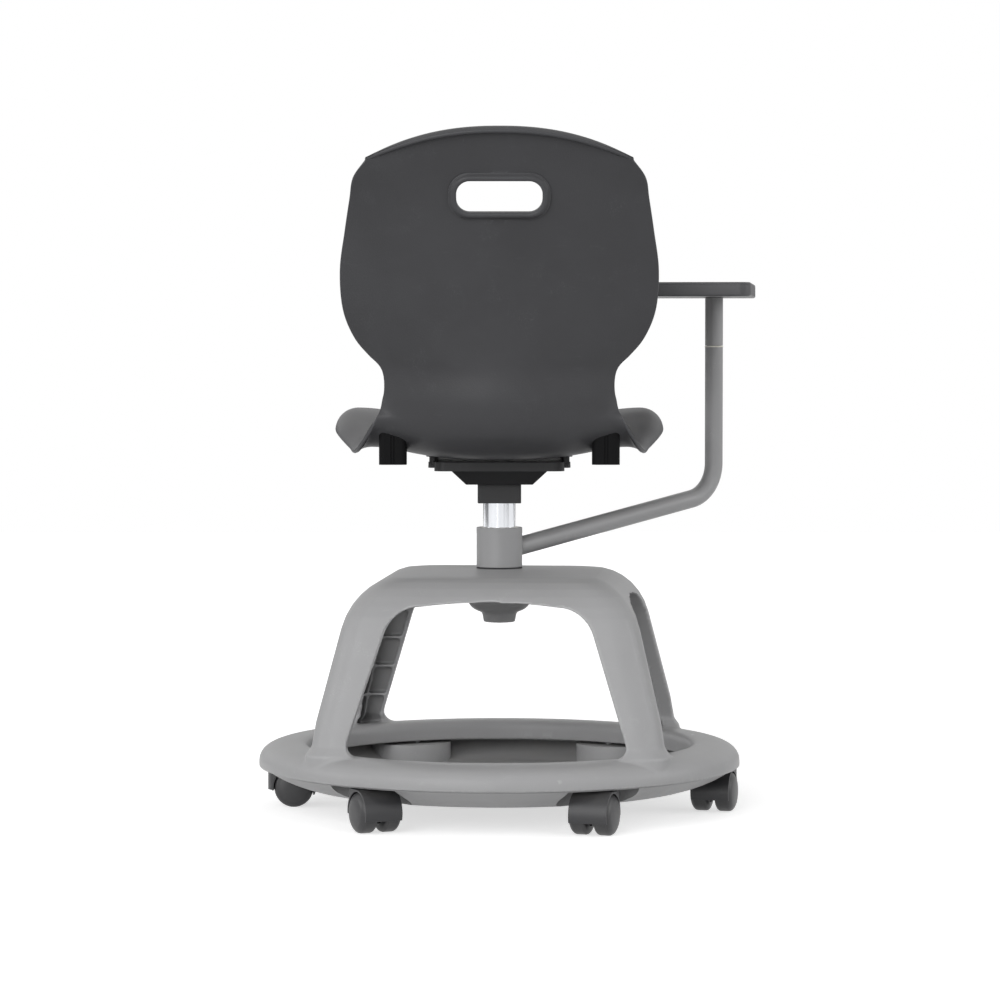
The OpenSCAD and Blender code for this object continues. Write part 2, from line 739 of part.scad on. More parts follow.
module at_castors() {
    for (i = [0:5]) rotate([0, 0, 60 * i]) translate([castor_circle_r, 0, 0]) children();
}
module at_tray_screws() {
    for (i = [0:5]) rotate([0, 0, 60 * i]) translate([tray_screw_r, 0, 0]) children();
}

module ring() {
    difference() {
        union() {
            rotate_extrude($fn = 128)
                polygon(concat(ring_outline(0), [for (i = [len(ring_outline(ring_wall)) - 1:-1:0])
                                                     ring_outline(ring_wall)[i]]));
            at_castors() translate([0, 0, boss_low_z])
                cylinder(r = stem_boss_r, h = ring_top_z - 3 - boss_low_z);
            at_tray_screws() translate([0, 0, boss_low_z])
                cylinder(r = screw_boss_r, h = ring_top_z - 5 - boss_low_z);
        }
        at_castors() translate([0, 0, boss_low_z - past])
            cylinder(r = socket_r, h = socket_high_z - boss_low_z + past);
        at_tray_screws() translate([0, 0, boss_low_z - past])
            cylinder(r = screw_d / 2 + seat_gap, h = screw_l + past);
    }
}

module hub() {
    hub_r = 38;
    nose_top_r = 20.5;
    nose_foot_r = 18.6;
    flare = bezier([hub_r - 1, hub_floor_z], [hub_r - 4, hub_floor_z - 7],
                   [nose_top_r + 8, nose_high_z + 2], [nose_top_r, nose_high_z], 6);
    difference() {
        rotate_extrude()
            polygon(concat([[0, nose_low_z], [nose_foot_r, nose_low_z]],
                           [for (i = [len(flare) - 1:-1:0]) flare[i]],
                           [[hub_r, platform_z - platform_t / 2], [0, platform_z - platform_t / 2]]));
        hub_bores();
    }
}
module hub_bores() {
    translate([0, 0, hub_floor_z]) cylinder(r = cup_r, h = platform_z);
    translate([0, 0, nose_low_z - past]) cylinder(r = stud_r + run_gap, h = platform_z);
    translate([0, 0, nose_low_z - past]) cylinder(r = clip_r + 1, h = clip_roof_z - nose_low_z + past);
}

platform_rib_h = 14;
module platform_ribs() {
    for (turn = [0:45:315]) rotate([0, 0, turn])
        translate([cup_r + 2, -rib_t / 2, platform_z - platform_t - platform_rib_h])
            cube([platform_half - cup_r - 6, rib_t, platform_rib_h + platform_t / 2]);
}

module base_frame() {
    color(frame_colour) rotate([0, 0, base_turn]) {
        difference() {
            union() {
                leg_frame();
                ring();
                platform_ribs();
            }
            hub_bores();
        }
        hub();
    }
}

// Tray: a shallow bowl under the ring, with a closed pocket over each castor
tray_lip_r = ring_r - ring_wall - 3;
tray_top_z = ring_low_z + 2;
function tray_outline(inset) =
    concat([[0, tray_low_z + inset], [tray_flat_r - inset / 2, tray_low_z + inset]],
           bezier([tray_flat_r + 8 - inset / 2, tray_low_z + 0.6 + inset],
                  [tray_flat_r + 25 - inset / 2, tray_low_z + 3 + inset],
                  [tray_lip_r - 10 - inset, tray_low_z + 14 + inset],
                  [tray_lip_r - inset, tray_top_z - 4], 6),
           [[tray_lip_r - inset, tray_top_z], [0, tray_top_z]]);
pocket_r = 47;
drain_inset = 14;    // from the edge of the flat floor to the middle of a drain hole
pocket_roof_z = ring_low_z - 2;

module storage_tray() {
    color(frame_colour) rotate([0, 0, base_turn]) difference() {
        rotate_extrude($fn = 128) polygon(tray_outline(0));
        difference() {
            rotate_extrude($fn = 128) translate([0, 0.01]) polygon(tray_outline(tray_wall));
            at_castors() cylinder(r = pocket_r + tray_wall, h = boss_low_z);
        }
        translate([0, 0, boss_low_z]) cylinder(r = ring_r, h = ring_low_z);
        at_castors() translate([0, 0, -past]) cylinder(r = pocket_r, h = pocket_roof_z + past);
        at_castors() cylinder(r = flange_r + flange_gap, h = ring_top_z);
        at_tray_screws() cylinder(r = screw_d / 2 + seat_gap, h = ring_top_z);
        at_tray_screws() screw_cone(seat_gap);
        for (i = [0:5]) rotate([0, 0, 60 * i + 30])
            translate([tray_flat_r - drain_inset, 0, 0]) cylinder(d = drain_d, h = tray_top_z);
    }
}

screw_head_h = 2;
module screw_cone(grow) {
    translate([0, 0, pocket_roof_z])
        cylinder(r1 = screw_d / 2 + screw_head_h + grow, r2 = screw_d / 2 + grow, h = screw_head_h);
}
module tray_screws() {
    color(steel_colour) rotate([0, 0, base_turn]) at_tray_screws() {
        screw_cone(0);
        translate([0, 0, pocket_roof_z]) cylinder(d = screw_d, h = screw_l);
    }
}

flange_r = 9.5;
flange_gap = 0.5;    // round a sleeve's flange, in the tray
module castor_sockets() {
    color(nylon_colour) rotate([0, 0, base_turn]) at_castors() difference() {
        union() {
            translate([0, 0, boss_low_z - flange_t]) cylinder(r = flange_r, h = flange_t);
            translate([0, 0, boss_low_z])
                cylinder(r = socket_r - seat_gap, h = socket_high_z - boss_low_z);
        }
        translate([0, 0, boss_low_z - flange_t - past])
            cylinder(r = stem_d / 2 + run_gap, h = ring_top_z);
    }
}

// Castors. Each stands in its own frame: the stem on the Z axis, the axle at +X, along Y.
// How far each castor has turned on its stem, in degrees, measured in the base's frame
CASTOR_TURNS = [-101.5, 140, 60, 4.5, -59.5, -105.5];
wheel_r = wheel_d / 2;
hood_half_w = wheels_w / 2 - 4;
web_half = wheel_gap / 2 - 0.5;
axle_half = wheels_w / 2 - 4;

module castor_place(n) {
    rotate([0, 0, base_turn + 60 * (n - 1)]) translate([castor_circle_r, 0, 0])
        rotate([0, 0, CASTOR_TURNS[n - 1] - 60 * (n - 1)]) children();
}
module on_axle() {
    translate([castor_trail, 0, wheel_r]) rotate([90, 0, 0]) children();
}

// The flat foot of a stem, let into the hood
tang_half = [7, 1.6];
tang_low_z = wheel_r + 5;
stem_shoulder_r = 8;
module tang(grow) {
    half = [tang_half[0] + grow, tang_half[1] + grow];
    translate([-half[0], -half[1], tang_low_z]) cube([2 * half[0], 2 * half[1], hood_top_z - tang_low_z]);
}
module castor_stem(n) {
    color(steel_colour) castor_place(n) {
        tang(0);
        translate([0, 0, hood_top_z]) cylinder(r = stem_shoulder_r, h = stem_shoulder_t);
        translate([0, 0, hood_top_z]) cylinder(d = stem_d, h = socket_high_z - 1 - hood_top_z);
    }
}

hood_front = 18.5;
hood_front_low_z = 20;
hood_back_low_z = 15;
axle_boss_wall = 6;
hood_cut = 3 * wheel_d;    // size of the blocks that trim a hood
module hood_front_outline() {
    side = [[castor_trail, hood_half_w], [10.5 - hood_front, hood_half_w],
            [3.5 - hood_front, hood_half_w - 6.5], [-hood_front, 0.4 * hood_half_w]];
    polygon(concat(side, [for (i = [3:-1:0]) [side[i][0], -side[i][1]]]));
}
module castor_hood(n) {
    outer = wheel_r + wheel_clear + hood_t;
    color(castor_colour) castor_place(n) difference() {
        union() {
            difference() {
                union() {
                    on_axle() cylinder(r = outer, h = 2 * hood_half_w, center = true);
                    translate([0, 0, hood_front_low_z]) linear_extrude(hood_top_z - hood_front_low_z)
                        hood_front_outline();
                }
                on_axle() cylinder(r = wheel_r + wheel_clear, h = 2 * wheels_w, center = true);
                translate([castor_trail - hood_cut, -hood_cut / 2, hood_front_low_z - hood_cut])
                    cube(hood_cut);
                translate([castor_trail - past, -hood_cut / 2, hood_back_low_z - hood_cut])
                    cube(hood_cut);
            }
            on_axle() cylinder(r = axle_d / 2 + axle_boss_wall, h = 2 * web_half, center = true);
            translate([past - hood_front, -web_half, hood_front_low_z])
                cube([castor_trail + hood_front - past, 2 * web_half,
                      hood_top_z - hood_t - hood_front_low_z]);
            intersection() {
                on_axle() cylinder(r = outer - 0.5, h = 2 * web_half, center = true);
                translate([castor_trail, -web_half, hood_back_low_z])
                    cube([hood_cut, 2 * web_half, hood_cut]);
            }
        }
        on_axle() cylinder(r = axle_d / 2 + seat_gap, h = wheels_w, center = true);
        tang(seat_gap);
    }
}

module castor_axle(n) {
    color(steel_colour) castor_place(n) on_axle() cylinder(d = axle_d, h = 2 * axle_half, center = true);
}

// Outline of a wheel: a rounded tread, a slightly domed outer face and a hollow on the inner side
function wheel_outline() =
    let (inner = wheel_gap / 2,
         outer = wheels_w / 2,
         bore = axle_d / 2 + run_gap,
         hub_r = 7)
    concat([[bore, inner], [hub_r, inner], [hub_r, inner + 3], [wheel_r - 10, inner + 3],
            [wheel_r - 10, inner]],
           bezier([wheel_r - 9, inner], [wheel_r - 4, inner + 0.3], [wheel_r - 0.5, inner + 1.5],
                  [wheel_r, inner + 5], 5),
           bezier([wheel_r, outer - 8], [wheel_r, outer - 5], [wheel_r - 3, outer - 2.5],
                  [wheel_r - 7, outer - 1.2], 5),
           [[wheel_r - 12, outer - 0.4], [5, outer], [0, outer], [0, axle_half + face_gap],
            [bore, axle_half + face_gap]]);
module castor_wheel(n, side) {
    color(castor_colour) castor_place(n) on_axle()
        mirror([0, 0, side < 0 ? 1 : 0]) rotate_extrude() polygon(wheel_outline());
}

module castor_1_stem() { castor_stem(1); }
module castor_2_stem() { castor_stem(2); }
module castor_3_stem() { castor_stem(3); }
module castor_4_stem() { castor_stem(4); }
module castor_5_stem() { castor_stem(5); }
module castor_6_stem() { castor_stem(6); }
module castor_1_hood() { castor_hood(1); }
module castor_2_hood() { castor_hood(2); }
module castor_3_hood() { castor_hood(3); }
module castor_4_hood() { castor_hood(4); }
module castor_5_hood() { castor_hood(5); }
module castor_6_hood() { castor_hood(6); }
module castor_1_axle() { castor_axle(1); }
module castor_2_axle() { castor_axle(2); }
module castor_3_axle() { castor_axle(3); }
module castor_4_axle() { castor_axle(4); }
module castor_5_axle() { castor_axle(5); }
module castor_6_axle() { castor_axle(6); }
module castor_1_wheel_left() { castor_wheel(1, -1); }
module castor_2_wheel_left() { castor_wheel(2, -1); }
module castor_3_wheel_left() { castor_wheel(3, -1); }
module castor_4_wheel_left() { castor_wheel(4, -1); }
module castor_5_wheel_left() { castor_wheel(5, -1); }
module castor_6_wheel_left() { castor_wheel(6, -1); }
module castor_1_wheel_right() { castor_wheel(1, 1); }
module castor_2_wheel_right() { castor_wheel(2, 1); }
module castor_3_wheel_right() { castor_wheel(3, 1); }
module castor_4_wheel_right() { castor_wheel(4, 1); }
module castor_5_wheel_right() { castor_wheel(5, 1); }
module castor_6_wheel_right() { castor_wheel(6, 1); }

// Arm: a collar that turns round the column and a bent tube welded to it
collar_z = platform_z + washer_t + face_gap;
collar_top_z = collar_z + collar_h;
collar_bush_wall = 3;
collar_in_r = bush_r + collar_bush_wall;
collar_bush_l = 16;
arm_r = arm_d / 2;
arm_in_r = arm_r - arm_wall;

module arm_collar() {
    color(arm_colour) tube(collar_d / 2, collar_in_r, collar_z, collar_top_z);
}
module collar_bush_upper() {
    color(nylon_colour) tube(collar_in_r, bush_r, collar_top_z - collar_bush_l, collar_top_z);
}
module collar_bush_lower() {
    color(nylon_colour) tube(collar_in_r, bush_r, collar_z, collar_z + collar_bush_l);
}

// In the arm's upright plane: the bend starts at bend_start along the sloping run
corner_z = arm_low_z + post_r * tan(arm_rise);
bend_turn = 90 - arm_rise;
tangent = arm_bend_r * tan(bend_turn / 2);
run_l = post_r / cos(arm_rise) - tangent;
bend_thin = 0.15;    // by which the bent stretch is thinner at both faces of its wall
bend_lap = 0.5;      // how far the straight stretches lap over its ends
module arm_tube() {
    color(arm_colour) rotate([0, 0, arm_turn]) {
        difference() {
            translate([0, 0, arm_low_z]) rotate([0, 90 - arm_rise, 0])
                tube(arm_r, arm_in_r, 0, run_l + bend_lap);
            translate([0, 0, arm_low_z - collar_d]) cylinder(d = collar_d, h = 2 * collar_d);
        }
        translate([post_r - arm_bend_r, 0, corner_z + tangent])
            rotate([90, 0, 0]) rotate([0, 0, -bend_turn]) rotate_extrude(angle = bend_turn)
                translate([arm_bend_r, 0]) difference() {
                    circle(r = arm_r - bend_thin);
                    circle(r = arm_in_r + bend_thin);
                }
        translate([post_r, 0, 0]) tube(arm_r, arm_in_r, corner_z + tangent - bend_lap, joint_z);
    }
}
module on_post() {
    rotate([0, 0, arm_turn]) translate([post_r, 0, 0]) rotate([0, 0, -arm_turn]) children();
}
joint_washer_t = 1.4;
joint_washer_lip = 0.4;    // by which the washer is wider than the tube
pin_l = 38;
module arm_pivot_pin() {
    color(steel_colour) on_post() {
        translate([0, 0, joint_z - pin_l]) cylinder(r = arm_in_r - seat_gap, h = pin_l);
        translate([0, 0, joint_z - past]) cylinder(r = arm_in_r - run_gap, h = pin_l + past);
    }
}
module arm_joint_washer() {
    color(nylon_colour) on_post()
        tube(arm_r + joint_washer_lip, arm_in_r, joint_z, joint_z + joint_washer_t);
}

// Tablet, with the post on the Z axis of its own frame
post_low_z = joint_z + joint_washer_t + face_gap;
tablet_plate_t = 3;
tablet_plate_half = [60, 45];
tablet_plate_x = -22;
tablet_plate_corner_r = 10;
tablet_screw_inset = 12;
module tablet_frame() {
    on_post() rotate([0, 0, tablet_turn]) children();
}
module tablet_post() {
    color(arm_colour) on_post() tube(arm_r, arm_in_r, post_low_z, tablet_z);
}
module tablet_plate_outline(grow) {
    half = tablet_plate_half + [grow, grow];
    translate([tablet_plate_x, 0])
        rounded_rectangle(-half, half, [for (i = [0:3]) tablet_plate_corner_r + grow]);
}
module at_tablet_screws() {
    reach = tablet_plate_half - [tablet_screw_inset, tablet_screw_inset];
    for (x = [-1, 1], y = [-1, 1])
        translate([tablet_plate_x + x * reach[0], y * reach[1], 0]) children();
}
tablet_screw_d = 4;
tablet_screw_l = 12;
tablet_screw_head_h = 2;
module tablet_screw_form(grow) {
    translate([0, 0, tablet_z]) {
        cylinder(r1 = tablet_screw_d + grow, r2 = tablet_screw_d / 2 + grow, h = tablet_screw_head_h);
        cylinder(r = tablet_screw_d / 2 + grow, h = tablet_screw_l);
    }
}
module tablet_plate() {
    color(black_colour) tablet_frame() difference() {
        translate([0, 0, tablet_z]) linear_extrude(tablet_plate_t) tablet_plate_outline(0);
        at_tablet_screws() tablet_screw_form(seat_gap);
    }
}
module tablet_screws() {
    color(steel_colour) tablet_frame() at_tablet_screws() tablet_screw_form(0);
}
module tablet_top() {
    color(shell_colour) tablet_frame() difference() {
        translate([0, 0, tablet_z]) linear_extrude(tablet_t)
            rounded_rectangle([tablet_out - tablet_w, -tablet_rear], [tablet_out, tablet_l - tablet_rear],
                              [tablet_inner_r, tablet_outer_r, tablet_outer_r, tablet_inner_r]);
        translate([0, 0, tablet_z - past]) linear_extrude(tablet_plate_t + past)
            tablet_plate_outline(seat_gap);
        at_tablet_screws() tablet_screw_form(seat_gap);
    }
}

base_frame();
storage_tray();
tray_screws();
hub_insert();
hub_bush();
thrust_washer();
castor_sockets();
castor_1_stem();
castor_2_stem();
castor_3_stem();
castor_4_stem();
castor_5_stem();
castor_6_stem();
castor_1_hood();
castor_2_hood();
castor_3_hood();
castor_4_hood();
castor_5_hood();
castor_6_hood();
castor_1_axle();
castor_2_axle();
castor_3_axle();
castor_4_axle();
castor_5_axle();
castor_6_axle();
castor_1_wheel_left();
castor_2_wheel_left();
castor_3_wheel_left();
castor_4_wheel_left();
castor_5_wheel_left();
castor_6_wheel_left();
castor_1_wheel_right();
castor_2_wheel_right();
castor_3_wheel_right();
castor_4_wheel_right();
castor_5_wheel_right();
castor_6_wheel_right();
seat_shell();
rear_sockets();
front_sockets();
seat_plate();
plate_bolts();
bolt_spacers();
swivel_bracket();
column_collar();
swivel_tube();
column_spindle();
retaining_clip();
arm_collar();
collar_bush_upper();
collar_bush_lower();
arm_tube();
arm_pivot_pin();
arm_joint_washer();
tablet_post();
tablet_plate();
tablet_screws();
tablet_top();
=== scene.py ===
import math

import bmesh
import bpy
import numpy as np
from mathutils import Matrix, Vector


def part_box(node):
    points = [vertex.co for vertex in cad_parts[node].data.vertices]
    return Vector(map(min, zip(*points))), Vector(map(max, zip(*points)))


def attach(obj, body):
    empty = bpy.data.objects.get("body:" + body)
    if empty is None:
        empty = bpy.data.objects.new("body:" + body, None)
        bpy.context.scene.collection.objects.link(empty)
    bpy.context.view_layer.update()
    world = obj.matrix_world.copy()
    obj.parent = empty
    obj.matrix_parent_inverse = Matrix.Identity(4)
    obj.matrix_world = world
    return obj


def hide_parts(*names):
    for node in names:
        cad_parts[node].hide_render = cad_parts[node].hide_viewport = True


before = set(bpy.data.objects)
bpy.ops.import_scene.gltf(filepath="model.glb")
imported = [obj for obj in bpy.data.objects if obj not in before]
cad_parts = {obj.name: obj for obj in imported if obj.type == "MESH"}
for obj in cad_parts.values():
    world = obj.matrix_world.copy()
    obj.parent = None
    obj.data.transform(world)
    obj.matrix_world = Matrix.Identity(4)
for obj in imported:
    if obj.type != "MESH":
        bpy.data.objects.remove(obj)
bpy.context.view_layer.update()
scene = bpy.context.scene

# Base frame
# One silver grey moulding: four arched legs that grow out of a ring and meet in a platform with a hub.
# It is injection moulded in glass filled nylon, hollow from below, with thin ribs inside the legs.
# Every edge has the small radius that a mould leaves, and the legs run into the ring in a fillet.
MM = 0.001


def tint(red, green, blue):
    """A colour given in display values from 0 to 255, as the linear colour that a shader takes."""
    parts = [c / 255 for c in (red, green, blue)]
    return [c / 12.92 if c < 0.04045 else ((c + 0.055) / 1.055) ** 2.4 for c in parts] + [1.0]


def group_tree(name, inputs, outputs):
    """An empty shader node group with named float, vector or colour sockets."""
    tree = bpy.data.node_groups.new(name, "ShaderNodeTree")
    kinds = {"value": "NodeSocketFloat", "vector": "NodeSocketVector", "colour": "NodeSocketColor"}
    for label, kind in inputs:
        tree.interface.new_socket(name=label, in_out="INPUT", socket_type=kinds[kind])
    for label, kind in outputs:
        tree.interface.new_socket(name=label, in_out="OUTPUT", socket_type=kinds[kind])
    return tree, tree.nodes.new("NodeGroupInput"), tree.nodes.new("NodeGroupOutput")


def math_node(tree, operation, first, second=None, third=None, clamp=False):
    """A Math node on sockets or numbers, and its output socket."""
    node = tree.nodes.new("ShaderNodeMath")
    node.operation = operation
    node.use_clamp = clamp
    for slot, value in zip(node.inputs, (first, second, third)):
        if isinstance(value, bpy.types.NodeSocket):
            tree.links.new(value, slot)
        elif value is not None:
            slot.default_value = value
    return node.outputs[0]


def spread(tree, value, low, high, to_low=0.0, to_high=1.0):
    """Maps a value from one range to another, clamped, with a smooth start and end."""
    node = tree.nodes.new("ShaderNodeMapRange")
    node.interpolation_type = "SMOOTHSTEP"
    tree.links.new(value, node.inputs["Value"])
    node.inputs["From Min"].default_value = low
    node.inputs["From Max"].default_value = high
    node.inputs["To Min"].default_value = to_low
    node.inputs["To Max"].default_value = to_high
    return node.outputs["Result"]


def noise(tree, place, scale, detail=2.0, roughness=0.5, stretch=None):
    """A noise texture at a scale in cycles per metre; stretch gives its own scale to each axis."""
    node = tree.nodes.new("ShaderNodeTexNoise")
    node.inputs["Detail"].default_value = detail
    node.inputs["Roughness"].default_value = roughness
    if isinstance(scale, bpy.types.NodeSocket):
        tree.links.new(scale, node.inputs["Scale"])
    else:
        node.inputs["Scale"].default_value = scale
    if stretch:
        mapping = tree.nodes.new("ShaderNodeMapping")
        mapping.inputs["Scale"].default_value = stretch
        tree.links.new(place, mapping.inputs["Vector"])
        place = mapping.outputs["Vector"]
    tree.links.new(place, node.inputs["Vector"])
    return node.outputs["Fac"]


def moulded_grain():
    """The eroded steel surface of a mould, printed into plastic: fine pits over a faint mottle."""
    tree, inward, outward = group_tree(
        "moulded_grain", [("Vector", "vector"), ("Cycles", "value")],
        [("Height", "value"), ("Mottle", "value")])
    fine = noise(tree, inward.outputs["Vector"], inward.outputs["Cycles"], detail=3.0, roughness=0.55)
    pits = tree.nodes.new("ShaderNodeTexVoronoi")
    pits.feature = "SMOOTH_F1"
    tree.links.new(inward.outputs["Vector"], pits.inputs["Vector"])
    tree.links.new(math_node(tree, "MULTIPLY", inward.outputs["Cycles"], 0.7), pits.inputs["Scale"])
    height = math_node(tree, "MULTIPLY_ADD", pits.outputs["Distance"], 0.6, fine)
    tree.links.new(height, outward.inputs["Height"])
    broad = noise(tree, inward.outputs["Vector"], scale=9.0, detail=3.0, roughness=0.6)
    tree.links.new(spread(tree, broad, 0.32, 0.68), outward.inputs["Mottle"])
    return tree


def handling_marks():
    """What use leaves: hair scratches in a few patches, and softer scuffs."""
    tree, inward, outward = group_tree(
        "handling_marks", [("Vector", "vector"), ("Amount", "value")],
        [("Scratches", "value"), ("Scuffs", "value")])
    place = inward.outputs["Vector"]
    lines, hair = [], 0.012
    for stretch in ((55, 900, 300), (900, 60, 420), (300, 240, 60)):
        band = noise(tree, place, scale=1.0, detail=1.0, roughness=0.4, stretch=stretch)
        off_middle = math_node(tree, "ABSOLUTE", math_node(tree, "SUBTRACT", band, 0.5))
        lines.append(spread(tree, off_middle, 0.0, hair, 1.0, 0.0))
    line = math_node(tree, "MAXIMUM", math_node(tree, "MAXIMUM", lines[0], lines[1]), lines[2])
    patch = spread(tree, noise(tree, place, scale=26.0, detail=2.0), 0.56, 0.7)
    scratches = math_node(tree, "MULTIPLY", math_node(tree, "MULTIPLY", line, patch),
                          inward.outputs["Amount"])
    tree.links.new(scratches, outward.inputs["Scratches"])
    smear = noise(tree, place, scale=1.0, detail=4.0, roughness=0.7, stretch=(40, 60, 160))
    scuffs = math_node(tree, "MULTIPLY", spread(tree, smear, 0.6, 0.74), inward.outputs["Amount"])
    tree.links.new(scuffs, outward.inputs["Scuffs"])
    return tree


def settled_dust():
    """Pale dust that lies on what faces up, thickest in patches."""
    tree, inward, outward = group_tree(
        "settled_dust", [("Vector", "vector"), ("Amount", "value")], [("Dust", "value")])
    normal = tree.nodes.new("ShaderNodeNewGeometry")
    parts = tree.nodes.new("ShaderNodeSeparateXYZ")
    tree.links.new(normal.outputs["Normal"], parts.inputs["Vector"])
    up = spread(tree, parts.outputs["Z"], 0.45, 0.95)
    patches = noise(tree, inward.outputs["Vector"], scale=30.0, detail=5.0, roughness=0.65)
    cloud = spread(tree, patches, 0.35, 0.75, 0.25, 1.0)
    lying = math_node(tree, "MULTIPLY", up, cloud)
    tree.links.new(math_node(tree, "MULTIPLY", lying, inward.outputs["Amount"]), outward.inputs["Dust"])
    return tree


GROUPS = {"grain": moulded_grain(), "marks": handling_marks(), "dust": settled_dust()}


def start_material(name):
    """A new material with its shader, and the place on the piece that its patterns follow."""
    material = bpy.data.materials.new(name)
    material.use_nodes = True
    tree = material.node_tree
    shader = tree.nodes["Principled BSDF"]
    place = tree.nodes.new("ShaderNodeTexCoord").outputs["Object"]
    return material, tree, shader, place


def use_group(tree, key, place, **values):
    """Places a shared group in a material, fed by the place on the piece and its own values."""
    node = tree.nodes.new("ShaderNodeGroup")
    node.node_tree = GROUPS[key]
    tree.links.new(place, node.inputs["Vector"])
    for label, value in values.items():
        node.inputs[label].default_value = value
    return node.outputs


def mixed(tree, share, first, second):
    """A colour mix; each side is a colour or a socket."""
    side_a, side_b, result = 6, 7, 2
    node = tree.nodes.new("ShaderNodeMix")
    node.data_type = "RGBA"
    tree.links.new(share, node.inputs["Factor"])
    for slot, value in ((node.inputs[side_a], first), (node.inputs[side_b], second)):
        if isinstance(value, bpy.types.NodeSocket):
            tree.links.new(value, slot)
        else:
            slot.default_value = value
    return node.outputs[result]


def relief(tree, shader, height, depth):
    """Feeds a height, times a depth in metres, to the shader as a bump."""
    bump = tree.nodes.new("ShaderNodeBump")
    bump.inputs["Strength"].default_value = 1.0
    bump.inputs["Distance"].default_value = depth
    tree.links.new(height, bump.inputs["Height"])
    tree.links.new(bump.outputs["Normal"], shader.inputs["Normal"])


def moulded_plastic(name, colour, pale, rough, cycles, depth, marks, dust, rub, specular=0.45):
    """Moulded plastic: grain, a faint mottle, rubbed edges, scratches, scuffs and dust."""
    material, tree, shader, place = start_material(name)
    grain = use_group(tree, "grain", place, Cycles=cycles)
    worn = use_group(tree, "marks", place, Amount=marks)
    dusty = use_group(tree, "dust", place, Amount=dust)
    edge = tree.nodes.new("ShaderNodeAttribute")
    edge.attribute_name = "edge_rub"
    mottle_tone, scuff_tone, dust_tone = 0.07, 0.3, tint(178, 174, 166)
    mottle_rough, rub_rough, dust_rough, scratch_depth = 0.03, -0.14, 0.3, -0.8
    rubbed = math_node(tree, "MULTIPLY", edge.outputs["Fac"], rub, clamp=True)
    tone = mixed(tree, math_node(tree, "MULTIPLY", grain["Mottle"], mottle_tone), colour, pale)
    tone = mixed(tree, rubbed, tone, pale)
    soft_marks = math_node(tree, "MULTIPLY", worn["Scuffs"], scuff_tone)
    tone = mixed(tree, math_node(tree, "MAXIMUM", worn["Scratches"], soft_marks), tone, pale)
    tone = mixed(tree, dusty["Dust"], tone, dust_tone)
    tree.links.new(tone, shader.inputs["Base Color"])
    gloss = spread(tree, grain["Mottle"], 0.0, 1.0, rough, rough + mottle_rough)
    gloss = math_node(tree, "MULTIPLY_ADD", rubbed, rub_rough, gloss)
    gloss = math_node(tree, "MULTIPLY_ADD", dusty["Dust"], dust_rough, gloss, clamp=True)
    tree.links.new(gloss, shader.inputs["Roughness"])
    height = math_node(tree, "MULTIPLY_ADD", worn["Scratches"], scratch_depth, grain["Height"])
    relief(tree, shader, height, depth)
    shader.inputs["Specular IOR Level"].default_value = specular
    return material


def new_piece(name, mesh):
    """Links a mesh into the scene as a piece that stands at the origin."""
    piece = bpy.data.objects.new(name, mesh)
    scene.collection.objects.link(piece)
    return piece


def settle(piece):
    """Applies every modifier of a piece."""
    bpy.context.view_layer.update()
    made = bpy.data.meshes.new_from_object(piece.evaluated_get(bpy.context.evaluated_depsgraph_get()))
    piece.modifiers.clear()
    piece.data = made
    return piece


def edit(piece):
    """The piece's mesh, open for editing, welded, with its faces turned outwards."""
    work = bmesh.new()
    work.from_mesh(piece.data)
    bmesh.ops.remove_doubles(work, verts=work.verts, dist=0.002 * MM)
    bmesh.ops.recalc_face_normals(work, faces=work.faces)
    return work


def close_edit(piece, work):
    """Puts an edited mesh back into its piece, without doubled faces."""
    work.to_mesh(piece.data)
    work.free()
    piece.data.validate()
    piece.data.update()


RUB_FROM, RUB_SPAN = 0.12, 0.5


def finish_piece(piece, material, body, record_slot, *nodes, sharp=40, level=True):
    """Smooths a piece, marks its outer edges for wear, and gives it its material, body and nodes;
    record_slot is not used.

    An edge starts to rub where it bends by RUB_FROM radians. Level keeps the shading of broad flat
    faces flat up to their rounded edges."""
    work = edit(piece)
    rub = {v.index: 0.0 for v in work.verts}
    for e in work.edges:
        if len(e.link_faces) == 2:
            bend = e.calc_face_angle_signed(0.0)
            for v in e.verts:
                rub[v.index] = max(rub[v.index], bend)
    values = [min(1.0, max(0.0, (rub[v.index] - RUB_FROM) / RUB_SPAN)) for v in work.verts]
    close_edit(piece, work)
    attribute = piece.data.attributes.new("edge_rub", "FLOAT", "POINT")
    attribute.data.foreach_set("value", values)
    piece.data.shade_smooth()
    piece.data.set_sharp_from_angle(angle=math.radians(sharp))
    if level:
        weighted = piece.modifiers.new("level", "WEIGHTED_NORMAL")
        weighted.keep_sharp = True
        weighted.weight = 90
        settle(piece)
    piece.data.materials.clear()
    piece.data.materials.append(material)
    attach(piece, body)
    if nodes:
        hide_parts(*nodes)
    return piece


def dress(material, *nodes):
    """Gives CAD nodes that stay visible their material."""
    for n in nodes:
        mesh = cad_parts[n].data
        mesh.materials.clear()
        mesh.materials.append(material)


def remoulded(name, node, cell, passes, keep):
    """A node's form with every edge rounded as a mould rounds it: rebuilt in small cells, then eased."""
    piece = new_piece(name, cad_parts[node].data.copy())
    close_edit(piece, edit(piece))
    cells = piece.modifiers.new("cells", "REMESH")
    cells.mode = "VOXEL"
    cells.voxel_size = cell * MM
    ease = piece.modifiers.new("ease", "SMOOTH")
    ease.factor = 0.5
    ease.iterations = passes
    thin = piece.modifiers.new("thin", "DECIMATE")
    thin.ratio = keep
    return settle(piece)


